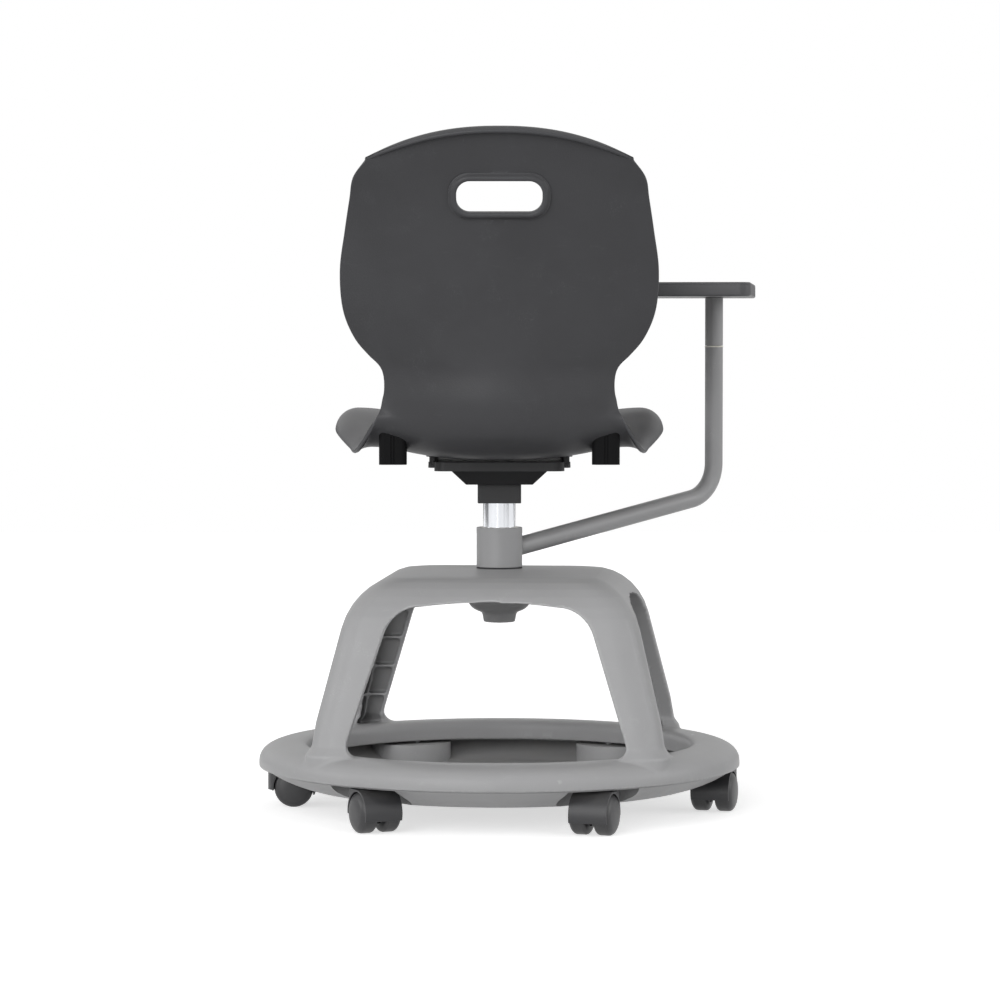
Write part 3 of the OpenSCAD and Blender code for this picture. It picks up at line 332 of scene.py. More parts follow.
frame_plastic = moulded_plastic(
    "silver_grey_moulding", tint(151, 151, 152), tint(190, 190, 191), rough=0.4, cycles=900,
    depth=0.05 * MM, marks=0.3, dust=0.06, rub=0.35, specular=0.25)
base_moulding = remoulded("base_frame_moulding", "base_frame", cell=1.8, passes=4, keep=0.4)
finish_piece(base_moulding, frame_plastic, "base", "frame_plastic", "base_frame", sharp=60, level=False)

# Storage tray
# A shallow bowl for a bag under the ring, moulded in the same grey plastic, with a closed pocket over
# each castor. Screws from below hold it to the ring.


def eased(name, node, radius, steps=2, angle=28):
    """A node's form with the small radius of its real edges: flat faces are joined, then bevelled."""
    piece = new_piece(name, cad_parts[node].data.copy())
    work = edit(piece)
    bmesh.ops.dissolve_limit(work, angle_limit=math.radians(1.0), verts=work.verts, edges=work.edges)
    close_edit(piece, work)
    bevel = piece.modifiers.new("radius", "BEVEL")
    bevel.width = radius * MM
    bevel.segments = steps
    bevel.limit_method = "ANGLE"
    bevel.angle_limit = math.radians(angle)
    bevel.use_clamp_overlap = True
    return settle(piece)


tray_plastic = moulded_plastic(
    "grey_tray_moulding", tint(158, 158, 159), tint(190, 190, 191), rough=0.46, cycles=900,
    depth=0.05 * MM, marks=0.5, dust=0.22, rub=0.3)
finish_piece(eased("storage_tray_moulding", "storage_tray", 0.8), tray_plastic, "base", "tray_plastic",
             "storage_tray")


def plated_steel(name, colour, rough, cycles, depth, marks):
    """Bright plated steel: a fine grain, a cloudy plate and hair scratches."""
    material, tree, shader, place = start_material(name)
    grain = use_group(tree, "grain", place, Cycles=cycles)
    worn = use_group(tree, "marks", place, Amount=marks)
    cloud_share, cloud_tone, cloud_rough, scratch_rough = 0.5, 0.8, 1.5, 0.2
    cloud = math_node(tree, "MULTIPLY", grain["Mottle"], cloud_share)
    dull = [c * cloud_tone for c in colour[:3]] + [1.0]
    tree.links.new(mixed(tree, cloud, colour, dull), shader.inputs["Base Color"])
    gloss = spread(tree, grain["Mottle"], 0.0, 1.0, rough, rough * cloud_rough)
    tree.links.new(math_node(tree, "MULTIPLY_ADD", worn["Scratches"], scratch_rough, gloss, clamp=True),
                   shader.inputs["Roughness"])
    shader.inputs["Metallic"].default_value = 1.0
    height = math_node(tree, "MULTIPLY_ADD", worn["Scratches"], -1.0, grain["Height"])
    relief(tree, shader, height, depth)
    return material


zinc_steel = plated_steel("zinc_plated_steel", tint(196, 197, 200), rough=0.3, cycles=1500,
                          depth=0.01 * MM, marks=0.6)
dress(zinc_steel, "tray_screws", "hub_insert", "column_spindle", "retaining_clip")

# Bushes and washers
# Natural nylon, turned or moulded: the bush at the hub, the sleeves for the castor stems, the two
# bushes in the arm's collar, and the washer in the arm's joint.
nylon = moulded_plastic(
    "natural_nylon", tint(222, 219, 208), tint(236, 234, 226), rough=0.38, cycles=1400,
    depth=0.02 * MM, marks=0.2, dust=0.05, rub=0.2)
nylon_shader = nylon.node_tree.nodes["Principled BSDF"]
nylon_shader.inputs["Subsurface Weight"].default_value = 0.15
nylon_shader.inputs["Subsurface Radius"].default_value = (0.004, 0.004, 0.003)
dress(nylon, "hub_bush", "castor_sockets", "collar_bush_upper", "collar_bush_lower", "arm_joint_washer")

# Castors
# Six twin-wheel castors: a plated stem, a dark nylon hood over both wheels, and two nylon wheels
# that turn on a plated axle. The hood is one moulding, and each wheel has a hard smooth tread.
CASTOR_COUNT = 6


def turned(name, outline, steps):
    """A solid turned from a closed outline of radius and height, in millimetres, about the Z axis."""
    n = len(outline)
    turns = [2 * math.pi * k / steps for k in range(steps)]
    points = [(r * math.cos(turn) * MM, r * math.sin(turn) * MM, z * MM)
              for turn in turns for r, z in outline]
    faces = [(k * n + i, (k + 1) % steps * n + i, (k + 1) % steps * n + (i + 1) % n, k * n + (i + 1) % n)
             for k in range(steps) for i in range(n)]
    mesh = bpy.data.meshes.new(name)
    mesh.from_pydata(points, [], faces)
    piece = new_piece(name, mesh)
    work = edit(piece)
    bmesh.ops.dissolve_degenerate(work, edges=work.edges, dist=0.001 * MM)
    close_edit(piece, work)
    return piece


def rounded(corners, radii, steps):
    """A closed outline whose corners are rounded to the given radii."""
    made = []
    count = len(corners)
    for i, (corner, radius) in enumerate(zip(corners, radii)):
        here = np.array(corner, float)
        before = np.array(corners[i - 1], float) - here
        after = np.array(corners[(i + 1) % count], float) - here
        before_l, after_l = np.linalg.norm(before), np.linalg.norm(after)
        before, after = before / before_l, after / after_l
        half = math.acos(max(-1.0, min(1.0, float(before @ after)))) / 2
        reach = min(radius / max(math.tan(half), 1e-6), 0.49 * before_l, 0.49 * after_l)
        if reach < 1e-6:
            made.append(tuple(here))
            continue
        start, end = here + before * reach, here + after * reach
        for k in range(steps + 1):
            t = k / steps
            made.append(tuple((1 - t) ** 2 * start + 2 * t * (1 - t) * here + t * t * end))
    return made


castor_plastic = moulded_plastic(
    "dark_castor_moulding", tint(40, 40, 42), tint(80, 80, 82), rough=0.42, cycles=1100,
    depth=0.03 * MM, marks=0.4, dust=0.08, rub=0.3)
wheel_plastic = moulded_plastic(
    "dark_wheel_nylon", tint(46, 46, 48), tint(88, 87, 86), rough=0.38, cycles=1300,
    depth=0.02 * MM, marks=0.6, dust=0.05, rub=0.4)
for n in range(1, CASTOR_COUNT + 1):
    hood = eased(f"castor_{n}_hood_moulding", f"castor_{n}_hood", 0.9, 3)
    finish_piece(hood, castor_plastic, f"castor_{n}", "castor_plastic", f"castor_{n}_hood")
    dress(zinc_steel, f"castor_{n}_stem", f"castor_{n}_axle")
    for side in ("left", "right"):
        wheel = eased(f"castor_{n}_{side}_wheel", f"castor_{n}_wheel_{side}", 0.6, 2)
        finish_piece(wheel, wheel_plastic, f"castor_{n}_{side}", "wheel_plastic",
                     f"castor_{n}_wheel_{side}")

# Column
# The chrome plated steel tube that carries the seat and turns in the hub. Both its ends are deburred,
# with a small round on the edges.
chrome = plated_steel("chrome_plate", tint(232, 234, 238), rough=0.07, cycles=700, depth=0.002 * MM,
                      marks=0.25)
TUBE_R, TUBE_WALL = 19.0, 2.5
tube_low, tube_high = [corner.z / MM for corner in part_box("swivel_tube")]
tube_bore = TUBE_R - TUBE_WALL
tube = turned("column_tube", rounded(
    [(tube_bore, tube_low), (TUBE_R, tube_low), (TUBE_R, tube_high), (tube_bore, tube_high)],
    (0.5, 0.8, 0.8, 0.5), 3), 128)
finish_piece(tube, chrome, "seat", "chrome", "swivel_tube")

# Seat plate, dish and block
# A shallow pressed steel pan under the shell, the pressed dish welded below it, and the square plastic
# block round the top of the column. Plate and dish are powder coated satin black.


def coated_steel(name, colour, pale, rough, peel, marks, dust, specular=0.5):
    """Powder coated steel: the soft waves of orange peel under a fine speckle, and bare rubbed edges."""
    material, tree, shader, place = start_material(name)
    speckle_cycles, peel_cycles, speckle_height = 2200, 420.0, 0.2
    mottle_tone, rub_tone, dust_tone = 0.06, 0.3, tint(176, 173, 166)
    mottle_rough, dust_rough = 0.07, 0.3
    grain = use_group(tree, "grain", place, Cycles=speckle_cycles)
    worn = use_group(tree, "marks", place, Amount=marks)
    dusty = use_group(tree, "dust", place, Amount=dust)
    edge = tree.nodes.new("ShaderNodeAttribute")
    edge.attribute_name = "edge_rub"
    rubbed = math_node(tree, "MULTIPLY", edge.outputs["Fac"], rub_tone, clamp=True)
    tone = mixed(tree, math_node(tree, "MULTIPLY", grain["Mottle"], mottle_tone), colour, pale)
    tone = mixed(tree, math_node(tree, "MAXIMUM", rubbed, worn["Scratches"]), tone, pale)
    tone = mixed(tree, dusty["Dust"], tone, dust_tone)
    tree.links.new(tone, shader.inputs["Base Color"])
    gloss = spread(tree, grain["Mottle"], 0.0, 1.0, rough, rough + mottle_rough)
    tree.links.new(math_node(tree, "MULTIPLY_ADD", dusty["Dust"], dust_rough, gloss, clamp=True),
                   shader.inputs["Roughness"])
    waves = noise(tree, place, peel_cycles, detail=1.0, roughness=0.4)
    height = math_node(tree, "MULTIPLY_ADD", grain["Height"], speckle_height, waves)
    relief(tree, shader, height, peel)
    shader.inputs["Specular IOR Level"].default_value = specular
    shader.inputs["Coat Weight"].default_value = 0.15
    shader.inputs["Coat Roughness"].default_value = 0.3
    return material


black_paint = coated_steel("satin_black_coat", tint(34, 34, 35), tint(70, 70, 72), rough=0.42,
                           peel=0.06 * MM, marks=0.4, dust=0.06, specular=0.2)
black_plastic = moulded_plastic(
    "satin_black_moulding", tint(50, 50, 51), tint(74, 74, 76), rough=0.5, cycles=1100,
    depth=0.03 * MM, marks=0.3, dust=0.05, rub=0.3, specular=0.25)
finish_piece(eased("seat_plate_pan", "seat_plate", 1.0, 3), black_paint, "seat", "black_paint",
             "seat_plate")
finish_piece(eased("bracket_dish", "swivel_bracket", 1.6, 3), black_paint, "seat", "black_paint",
             "swivel_bracket")
finish_piece(eased("column_block", "column_collar", 1.0, 3), black_plastic, "seat", "black_plastic",
             "column_collar")
finish_piece(eased("seat_bolts", "plate_bolts", 0.5, 2), black_paint, "seat", "black_paint",
             "plate_bolts")
finish_piece(eased("seat_bolt_spacers", "bolt_spacers", 0.25, 2), black_paint, "seat", "black_paint",
             "bolt_spacers")
dress(black_plastic, "thrust_washer")

# Leg sockets
# Black moulded blocks under the four corners of the seat, each with two round bores, trimmed to the
# shell's underside.
# The sockets are the same black plastic as the column block, but painted darker and with less gloss:
# painted shade from the shell above them.
socket_plastic_painted_shade = moulded_plastic(
    "black_moulding_darkened_for_shade", tint(11, 11, 12), tint(30, 30, 32), rough=0.64, cycles=1100,
    depth=0.03 * MM, marks=0.2, dust=0.04, rub=0.3, specular=0.08)
for end in ("rear", "front"):
    blocks = eased(f"{end}_socket_blocks", f"{end}_sockets", 2.0, steps=4, angle=40)
    finish_piece(blocks, socket_plastic_painted_shade, "seat", "black_plastic", f"{end}_sockets")

# Seat shell
# Back and seat are one charcoal polypropylene moulding, five millimetres thick, with a lip turned back
# along the top, a hand slot with a raised lip, a pinched waist, and a seat whose sides roll down.
# The surface follows the same stations as the solid, at several times their number.
SHELL_WALL = 5.0
TOP_LIP = 8.0
BACK_FOOT_Z, BACK_TOP_Z = 513.0, 789.0
WAIST_Y, BACK_LEAN, BACK_CURVE = 194.0, 72.0, 1.3
SEAT_LOW_Z = 418.0
ROLL_AT = 0.885


def back_line(share):
    """How far the back leans behind the column at a share of its height."""
    return -WAIST_Y - BACK_LEAN * max(0.0, share) ** BACK_CURVE


def back_at(share, half_width, rise, shift):
    """A station of the back: place and height, half width, rise and shift of its sides."""
    z = BACK_FOOT_Z + share * (BACK_TOP_Z - BACK_FOOT_Z)
    return [back_line(share), z, half_width, rise, 0, 0, shift]


def seat_at(y, z, half_width, rise, roll, form, shift=0):
    """A station of the seat; roll is the drop of its sides, and form turns them from back to seat."""
    return [y, SEAT_LOW_Z + z, half_width, rise, roll, form, shift]


STATIONS = np.array([
    back_at(1, 149, 14, -41), back_at(0.914, 163.5, 19, -38), back_at(0.786, 168, 25, -27),
    back_at(0.625, 174, 30, -19), back_at(0.446, 180, 34, -12), back_at(0.275, 177.5, 38, -8),
    back_at(0.146, 165, 42, -4), back_at(0.068, 148.5, 44, -1), back_at(0, 132, 46, 0),
    seat_at(-193, 60, 133, 50, 0, 0), seat_at(-180, 26, 139, 42, 3, 0.3),
    seat_at(-150, 6, 150, 30, 7, 0.7), seat_at(-102, 0, 165, 15, 9, 1),
    seat_at(-46, 0.5, 173.5, 22, 14, 1), seat_at(30, 10.44, 188.5, 26, 17, 1),
    seat_at(100, 24.48, 195.5, 24, 23, 1), seat_at(162, 36, 193.5, 14, 22, 1),
    seat_at(204, 35, 181.5, 9, 19, 1, -6), seat_at(232, 19, 155.5, 5, 12, 1, -16)], float)
LAST = len(STATIONS) - 1


def station(at):
    """The station's seven measures at a place between two stations, on a smooth curve."""
    i = min(int(math.floor(at)), LAST - 1)
    t = at - i
    here, after = STATIONS[i], STATIONS[i + 1]
    before = STATIONS[i - 1] if i > 0 else 2 * here - after
    beyond = STATIONS[i + 2] if i < LAST - 1 else 2 * after - here
    return 0.5 * (2 * here + (after - before) * t + (2 * before - 5 * here + 4 * after - beyond) * t ** 2
                  + (3 * here - before - 3 * after + beyond) * t ** 3)


def line_normal(at):
    """The direction square to the shell's middle line at a place between two stations."""
    a, b = station(max(0.0, at - 0.25)), station(min(float(LAST), at + 0.25))
    d = b[:2] - a[:2]
    return np.array([-d[1], d[0]]) / np.linalg.norm(d)


def shell_row(at, across):
    """The points of the shell's middle surface at one station, for places from -1 to 1 across."""
    y, z, half_width, rise_by, roll, form, shift_by = station(at)
    n = line_normal(at)
    a = np.abs(across)
    t = np.minimum(1.0, a / ROLL_AT)
    q = np.maximum(0.0, (a - ROLL_AT) / (1 - ROLL_AT))
    x = half_width * (ROLL_AT * t + (1 - ROLL_AT) * ((1 - form) * q + form * np.sin(np.radians(90 * q))))
    bowl = (1 - form) * a * a + form * (2 * t ** 3 - t ** 6)
    rise = rise_by * bowl - roll * (1 - np.cos(np.radians(90 * q)))
    shift = shift_by * a ** 2.25
    return np.stack([np.sign(across) * x, y + rise * n[0] - shift * n[1],
                     z + rise * n[1] + shift * n[0]], axis=1)


def spaced(ends, counts):
    """Values that run through the given ends, with so many steps in each stretch."""
    made = [ends[0]]
    for low, high, count in zip(ends, ends[1:], counts):
        made += [low + (high - low) * (k + 1) / count for k in range(count)]
    return np.array(made)


def shell_mesh(name):
    """The shell as a closed skin: both faces, joined round the rim by a half round edge."""
    across = spaced([-1, -ROLL_AT, ROLL_AT, 1], [12, 56, 12])
    lip = TOP_LIP * (1 - 0.8 * np.abs(across) ** 4)
    top = shell_row(0.0, across)
    away = np.array([0, -1, -0.75]) / 1.25
    # the lip runs from its free edge to a tight bend, after which the back starts at its first full row
    first_row, bend = 0.12, 0.06
    rows = []
    for k in (1.0, 0.72, 0.44, 0.2):
        rows.append(top + (lip * k * 1.25)[:, None] * away)
    down = shell_row(first_row, across) - top
    rows.append(top + bend * lip[:, None] * away + bend * down)
    rows += [shell_row(at, across) for at in spaced([first_row, 1, LAST - 1, LAST], [7, 100, 10])]
    grid = np.array(rows)
    along = np.gradient(grid, axis=0)
    side = np.gradient(grid, axis=1)
    normal = np.cross(side, along)
    normal /= np.linalg.norm(normal, axis=2)[:, :, None]
    n_row, n_col = grid.shape[:2]
    rim = [(i, 0) for i in range(n_row)] + [(n_row - 1, j) for j in range(1, n_col)]
    rim += [(i, n_col - 1) for i in range(n_row - 2, -1, -1)] + [(0, j) for j in range(n_col - 2, 0, -1)]
    half = SHELL_WALL / 2
    round_r = half * 0.96
    faces, points = [], []
    inset = grid.copy()
    # the rim steps inwards by the edge radius, so that the half round edge ends on the outline
    for i, j in rim:
        inward = np.zeros(3)
        if j in (0, n_col - 1):
            inward += side[i, j] / np.linalg.norm(side[i, j]) * (1 if j == 0 else -1)
        if i in (0, n_row - 1):
            inward += along[i, j] / np.linalg.norm(along[i, j]) * (1 if i == 0 else -1)
        inset[i, j] = grid[i, j] + inward / np.linalg.norm(inward) * round_r
    for sign in (1, -1):
        points += list((inset + sign * half * normal).reshape(-1, 3))
    layer = n_row * n_col
    for i in range(n_row - 1):
        for j in range(n_col - 1):
            a, b, c, d = i * n_col + j, (i + 1) * n_col + j, (i + 1) * n_col + j + 1, i * n_col + j + 1
            faces.append((a, d, c, b))
            faces.append((a + layer, b + layer, c + layer, d + layer))
    steps = 6
    first = len(points)
    for i, j in rim:
        outward = grid[i, j] - inset[i, j]
        outward = outward / np.linalg.norm(outward)
        for k in range(1, steps):
            angle = math.pi * k / steps
            points.append(inset[i, j] + half * math.cos(angle) * normal[i, j]
                          + round_r * math.sin(angle) * outward)
    count = len(rim)

    def rim_point(k, m):
        """The number of a point on the rim: its place along the rim, and its step round the edge."""
        i, j = rim[k % count]
        if m == 0:
            return i * n_col + j
        if m == steps:
            return layer + i * n_col + j
        return first + (k % count) * (steps - 1) + m - 1

    for k in range(count):
        for m in range(steps):
            faces.append((rim_point(k, m), rim_point(k, m + 1), rim_point(k + 1, m + 1),
                          rim_point(k + 1, m)))
    mesh = bpy.data.meshes.new(name)
    mesh.from_pydata([tuple(p * MM) for p in points], [], faces)
    piece = new_piece(name, mesh)
    close_edit(piece, edit(piece))
    return piece


def rounded_outline(half_w, half_h, radius, steps):
    """A rounded rectangle about the origin, anticlockwise."""
    made = []
    for q, (sx, sy) in enumerate(((1, 1), (-1, 1), (-1, -1), (1, -1))):
        for k in range(steps + 1):
            angle = math.radians(90 * q + 90 * k / steps)
            made.append((sx * (half_w - radius) + radius * math.cos(angle),
                         sy * (half_h - radius) + radius * math.sin(angle)))
    return made


def stacked(name, loops, closed=False):
    """A skin through loops of the same number of points.

    Closed joins the last loop to the first. Otherwise the first and the last loop are filled."""
    n = len(loops[0])
    points = [tuple(c * MM for c in p) for loop in loops for p in loop]
    turns = len(loops) if closed else len(loops) - 1
    faces = [(k % len(loops) * n + i, k % len(loops) * n + (i + 1) % n,
              (k + 1) % len(loops) * n + (i + 1) % n, (k + 1) % len(loops) * n + i)
             for k in range(turns) for i in range(n)]
    if not closed:
        faces += [tuple(range(n - 1, -1, -1)), tuple((len(loops) - 1) * n + i for i in range(n))]
    mesh = bpy.data.meshes.new(name)
    mesh.from_pydata(points, [], faces)
    piece = new_piece(name, mesh)
    close_edit(piece, edit(piece))
    return piece


def combine(piece, tool, operation):
    """Joins a tool's solid to a piece, or cuts it out, and deletes the tool."""
    made = piece.modifiers.new("combine", "BOOLEAN")
    made.operation = operation
    made.solver = "EXACT"
    made.object = tool
    settle(piece)
    bpy.data.objects.remove(tool)


SLOT_Z, SLOT_HALF_W, SLOT_HALF_H, SLOT_R = 714.0, 48.0, 18.0, 15.0
SLOT_REACH = 0.07
slot_share = (SLOT_Z - BACK_FOOT_Z) / (BACK_TOP_Z - BACK_FOOT_Z)
slot_tilt = math.atan2(back_line(slot_share + SLOT_REACH) - back_line(slot_share - SLOT_REACH),
                       2 * SLOT_REACH * (BACK_TOP_Z - BACK_FOOT_Z))


def at_slot(outline, depth):
    """Points of an outline at the hand slot, so far in front of the back's middle surface."""
    up = np.array([0, math.sin(slot_tilt), math.cos(slot_tilt)])
    front = np.array([0, math.cos(slot_tilt), -math.sin(slot_tilt)])
    centre = np.array([0, back_line(slot_share), SLOT_Z])
    return [tuple(centre + np.array([u, 0, 0]) + w * up + depth * front) for u, w in outline]


def slot_loop(grow, depth):
    """The slot's outline, grown by so much, at a depth."""
    return at_slot(rounded_outline(SLOT_HALF_W + grow, SLOT_HALF_H + grow, SLOT_R + grow, 10), depth)


shell = shell_mesh("seat_shell_moulding")
lip_section = [(0.0, 1.5), (0.0, -4.6), (0.8, -6.2), (2.2, -7.0), (3.8, -6.9), (5.2, -6.2), (6.3, -5.0),
               (7.2, -3.8), (8.2, -3.1), (9.0, -2.6), (9.0, 1.5)]
combine(shell, stacked("slot_lip", [slot_loop(g, d) for g, d in lip_section], closed=True), "UNION")
slot_section = [(0.0, -25), (0.0, 0.2), (0.0, 1.4), (0.9, 2.4), (2.6, 3.0), (4.4, 30)]
combine(shell, stacked("slot_cut", [slot_loop(g, d) for g, d in slot_section]), "DIFFERENCE")
# each bolt's boss ends inside the wall, under the seat's top, which a ray from above finds
BOLT_X, BOLT_Y = 77, 68
BORE_R, BORE_LOW, BORE_HIGH = 3.1, 410, 423
BOSS_R, BOSS_EDGE, UNDER_TOP = 8, 0.4, 2.8
over_seat, down = Vector((0, 0, 0.6)), Vector((0, 0, -1))
bpy.context.view_layer.update()
bosses = []
for bolt in [Vector((x * MM, y * MM, 0)) for x in (-BOLT_X, BOLT_X) for y in (-BOLT_Y, BOLT_Y)]:
    seat_top = shell.ray_cast(bolt + over_seat, down)[1].z / MM
    bosses.append((bolt, seat_top - UNDER_TOP))
for bolt, boss_top in bosses:
    boss = turned("bolt_boss", [
        (0, SEAT_LOW_Z), (BOSS_R - BOSS_EDGE, SEAT_LOW_Z), (BOSS_R, SEAT_LOW_Z + BOSS_EDGE),
        (BOSS_R, boss_top), (0, boss_top)], 40)
    boss.data.transform(Matrix.Translation(bolt))
    combine(shell, boss, "UNION")
    bore = turned("bolt_bore", [
        (0, BORE_LOW), (BORE_R, BORE_LOW), (BORE_R, BORE_HIGH), (0, BORE_HIGH)], 32)
    bore.data.transform(Matrix.Translation(bolt))
    combine(shell, bore, "DIFFERENCE")
shell_plastic = moulded_plastic(
    "charcoal_shell_moulding", tint(60, 60, 62), tint(96, 97, 100), rough=0.42, cycles=750,
    depth=0.09 * MM, marks=0.22, dust=0.04, rub=0.2, specular=0.2)
finish_piece(shell, shell_plastic, "seat", "shell_plastic", "seat_shell", sharp=50, level=False)

# Arm
# A collar that turns round the column, and a steel tube welded to it that rises to the tablet's
# post. Both have a silver grey powder coat, which also covers the weld.
arm_paint = coated_steel("silver_grey_coat", tint(143, 143, 144), tint(176, 176, 177), rough=0.42,
                         peel=0.05 * MM, marks=0.4, dust=0.08)
COLLAR_R, COLLAR_IN_R = 27.0, 22.06
collar_low, collar_high = [corner.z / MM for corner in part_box("arm_collar")]
collar = turned("arm_collar_sleeve", rounded(
    [(COLLAR_IN_R, collar_low), (COLLAR_R, collar_low), (COLLAR_R, collar_high),
     (COLLAR_IN_R, collar_high)], (0.4, 1.2, 1.2, 0.4), 4), 128)
finish_piece(collar, arm_paint, "arm", "arm_paint", "arm_collar")
ARM_TURN, POST_R, ARM_R, ARM_WALL = 38.0, 336.0, 11.0, 2.0
ARM_LOW_Z, ARM_RISE, BEND_R, JOINT_Z = 303.5, 10.2, 44.0, 544.0
RUN_START_R, TUBE_SIDES = 30.0, 48
arm_turn = Matrix.Rotation(math.radians(ARM_TURN), 3, "Z")
rise_angle = math.radians(ARM_RISE)


def swept(name, path, outer, inner, start):
    """A tube along a path in the arm's upright plane, given as distance and height.

    Its first loop is trimmed to a round of radius start about the column."""
    loops_out, loops_in = [], []
    for k, (d, z) in enumerate(path):
        a = path[max(0, k - 1)]
        b = path[min(len(path) - 1, k + 1)]
        t = np.array([b[0] - a[0], b[1] - a[1]])
        t /= np.linalg.norm(t)
        across = np.array([-t[1], t[0]])
        out, inn = [], []
        for m in range(TUBE_SIDES):
            angle = 2 * math.pi * m / TUBE_SIDES
            for radius, loop in ((outer, out), (inner, inn)):
                w, s = radius * math.cos(angle), radius * math.sin(angle)
                p = np.array([d + w * across[0], s, z + w * across[1]])
                if k == 0:
                    # slides the point along the tube until it meets the collar
                    reach = math.sqrt(max(0.0, start ** 2 - s * s)) - p[0]
                    p = p + np.array([1, 0, t[1] / t[0]]) * reach
                loop.append(p)
        loops_out.append(out)
        loops_in.append(inn)
    loops = [[tuple(arm_turn @ Vector(p)) for p in loop] for loop in loops_out + loops_in[::-1]]
    return stacked(name, loops, closed=True)


corner_z = ARM_LOW_Z + POST_R * math.tan(rise_angle)
bend = 90 - ARM_RISE
tangent = BEND_R * math.tan(math.radians(bend / 2))
bend_top = corner_z + tangent
run_start = (RUN_START_R, ARM_LOW_Z + RUN_START_R * math.tan(rise_angle))
run_end = (POST_R - tangent * math.cos(rise_angle), corner_z - tangent * math.sin(rise_angle))
run = np.array(run_end) - run_start
arc = [(POST_R - BEND_R + BEND_R * math.cos(a), bend_top + BEND_R * math.sin(a))
       for a in [math.radians(degrees) for degrees in np.linspace(-bend, 0, 17)]]
arm_path = [run_start] + [tuple(np.array(run_start) + run * k / 6) for k in range(1, 6)]
arm_path += arc + [(POST_R, bend_top + (JOINT_Z - corner_z - tangent) * k / 5) for k in range(1, 5)]
arm_path += [(POST_R, JOINT_Z - 0.5), (POST_R, JOINT_Z)]
arm = swept("arm_tube_bent", arm_path, ARM_R, ARM_R - ARM_WALL, start=COLLAR_R)
finish_piece(arm, arm_paint, "arm", "arm_paint", "arm_tube")

# Weld
# The bead round the foot of the arm's tube, under the same coat as the tube and the collar, with the
# ripples that a hand weld leaves.
BEAD_R, RIPPLE, RIPPLES, BEAD_STEPS = 2.0, 0.22, 22, 96
weld_loops = []
for m in range(BEAD_STEPS):
    angle = 2 * math.pi * m / BEAD_STEPS
    w, s = ARM_R * math.cos(angle), ARM_R * math.sin(angle)
    d0 = math.sqrt(COLLAR_R ** 2 - s * s)
    foot = np.array([d0, s, ARM_LOW_Z + d0 * math.tan(rise_angle) + w / math.cos(rise_angle)])
    radial = np.array([0, s, w]) / ARM_R
    off = np.array([d0, s, 0]) / COLLAR_R
    thick = BEAD_R + RIPPLE * math.sin(RIPPLES * angle)
    loop = []
    for k in range(8):
        b = 2 * math.pi * k / 8
        loop.append(foot + thick * (math.cos(b) * radial + math.sin(b) * off * 0.8))
    weld_loops.append(loop)
weld = stacked("arm_weld_bead", [[tuple(arm_turn @ Vector(p)) for p in loop] for loop in weld_loops],
               closed=True)
finish_piece(weld, arm_paint, "arm", "arm_paint", sharp=70)
dress(zinc_steel, "arm_pivot_pin")

# Tablet post and plate
# The post turns on the pin in the arm's tube, and is welded to a steel plate let into the tablet,
# which four countersunk screws hold.
finish_piece(eased("tablet_post_tube", "tablet_post", 0.5, 2), arm_paint, "tablet", "arm_paint",
             "tablet_post")
dress(black_paint, "tablet_plate")
dress(zinc_steel, "tablet_screws")

# Tablet
# A charcoal writing board with a hard laminate face and a moulded edge all round. The corners on the
# sitter's side are wide, and those on the outer side are small.
TABLET_LOW, TABLET_T, TABLET_TURN = 605.0, 17.0, -5.0
PAST_POST, TABLET_L = 48.5, 393.0
TABLET_X, TABLET_Y = (PAST_POST - TABLET_L, PAST_POST), (-170.0, 130.0)
WIDE_CORNER, SMALL_CORNER, BOARD_EDGE_R = 55.0, 14.0, 2.4
post_turn = math.radians(ARM_TURN)
post_at = Vector((POST_R * math.cos(post_turn), POST_R * math.sin(post_turn), 0)) * MM
tablet_place = Matrix.Translation(post_at) @ Matrix.Rotation(math.radians(TABLET_TURN), 4, "Z")


def board_loop(inset, z):
    """The board's outline, so far inside its edge, at a height."""
    made = []
    corners = ((1, 1, SMALL_CORNER), (0, 1, WIDE_CORNER), (0, 0, WIDE_CORNER), (1, 0, SMALL_CORNER))
    for q, (i, j, radius) in enumerate(corners):
        r = max(0.5, radius - inset)
        cx = TABLET_X[i] + (-1 if i else 1) * (inset + r)
        cy = TABLET_Y[j] + (-1 if j else 1) * (inset + r)
        for k in range(13):
            angle = math.radians(90 * q + 7.5 * k)
            made.append((cx + r * math.cos(angle), cy + r * math.sin(angle), z))
    return made


edge = [(BOARD_EDGE_R * (1 - math.sin(math.radians(a))), BOARD_EDGE_R * (1 - math.cos(math.radians(a))))
        for a in (0, 22, 45, 68, 90)]
tablet_top_z = TABLET_LOW + TABLET_T
# the seam between the edge band and the laminate, as insets and depths under the top
seam = [(0.0, 2.9), (0.35, 2.7), (0.35, 2.3), (0.05, 2.1)]
loops = [board_loop(inset, TABLET_LOW + up) for inset, up in edge]
loops += [board_loop(inset, tablet_top_z - under) for inset, under in seam]
loops += [board_loop(max(inset, 0.05), tablet_top_z - up * 0.8) for inset, up in edge[::-1]]
board = stacked("tablet_board", loops)
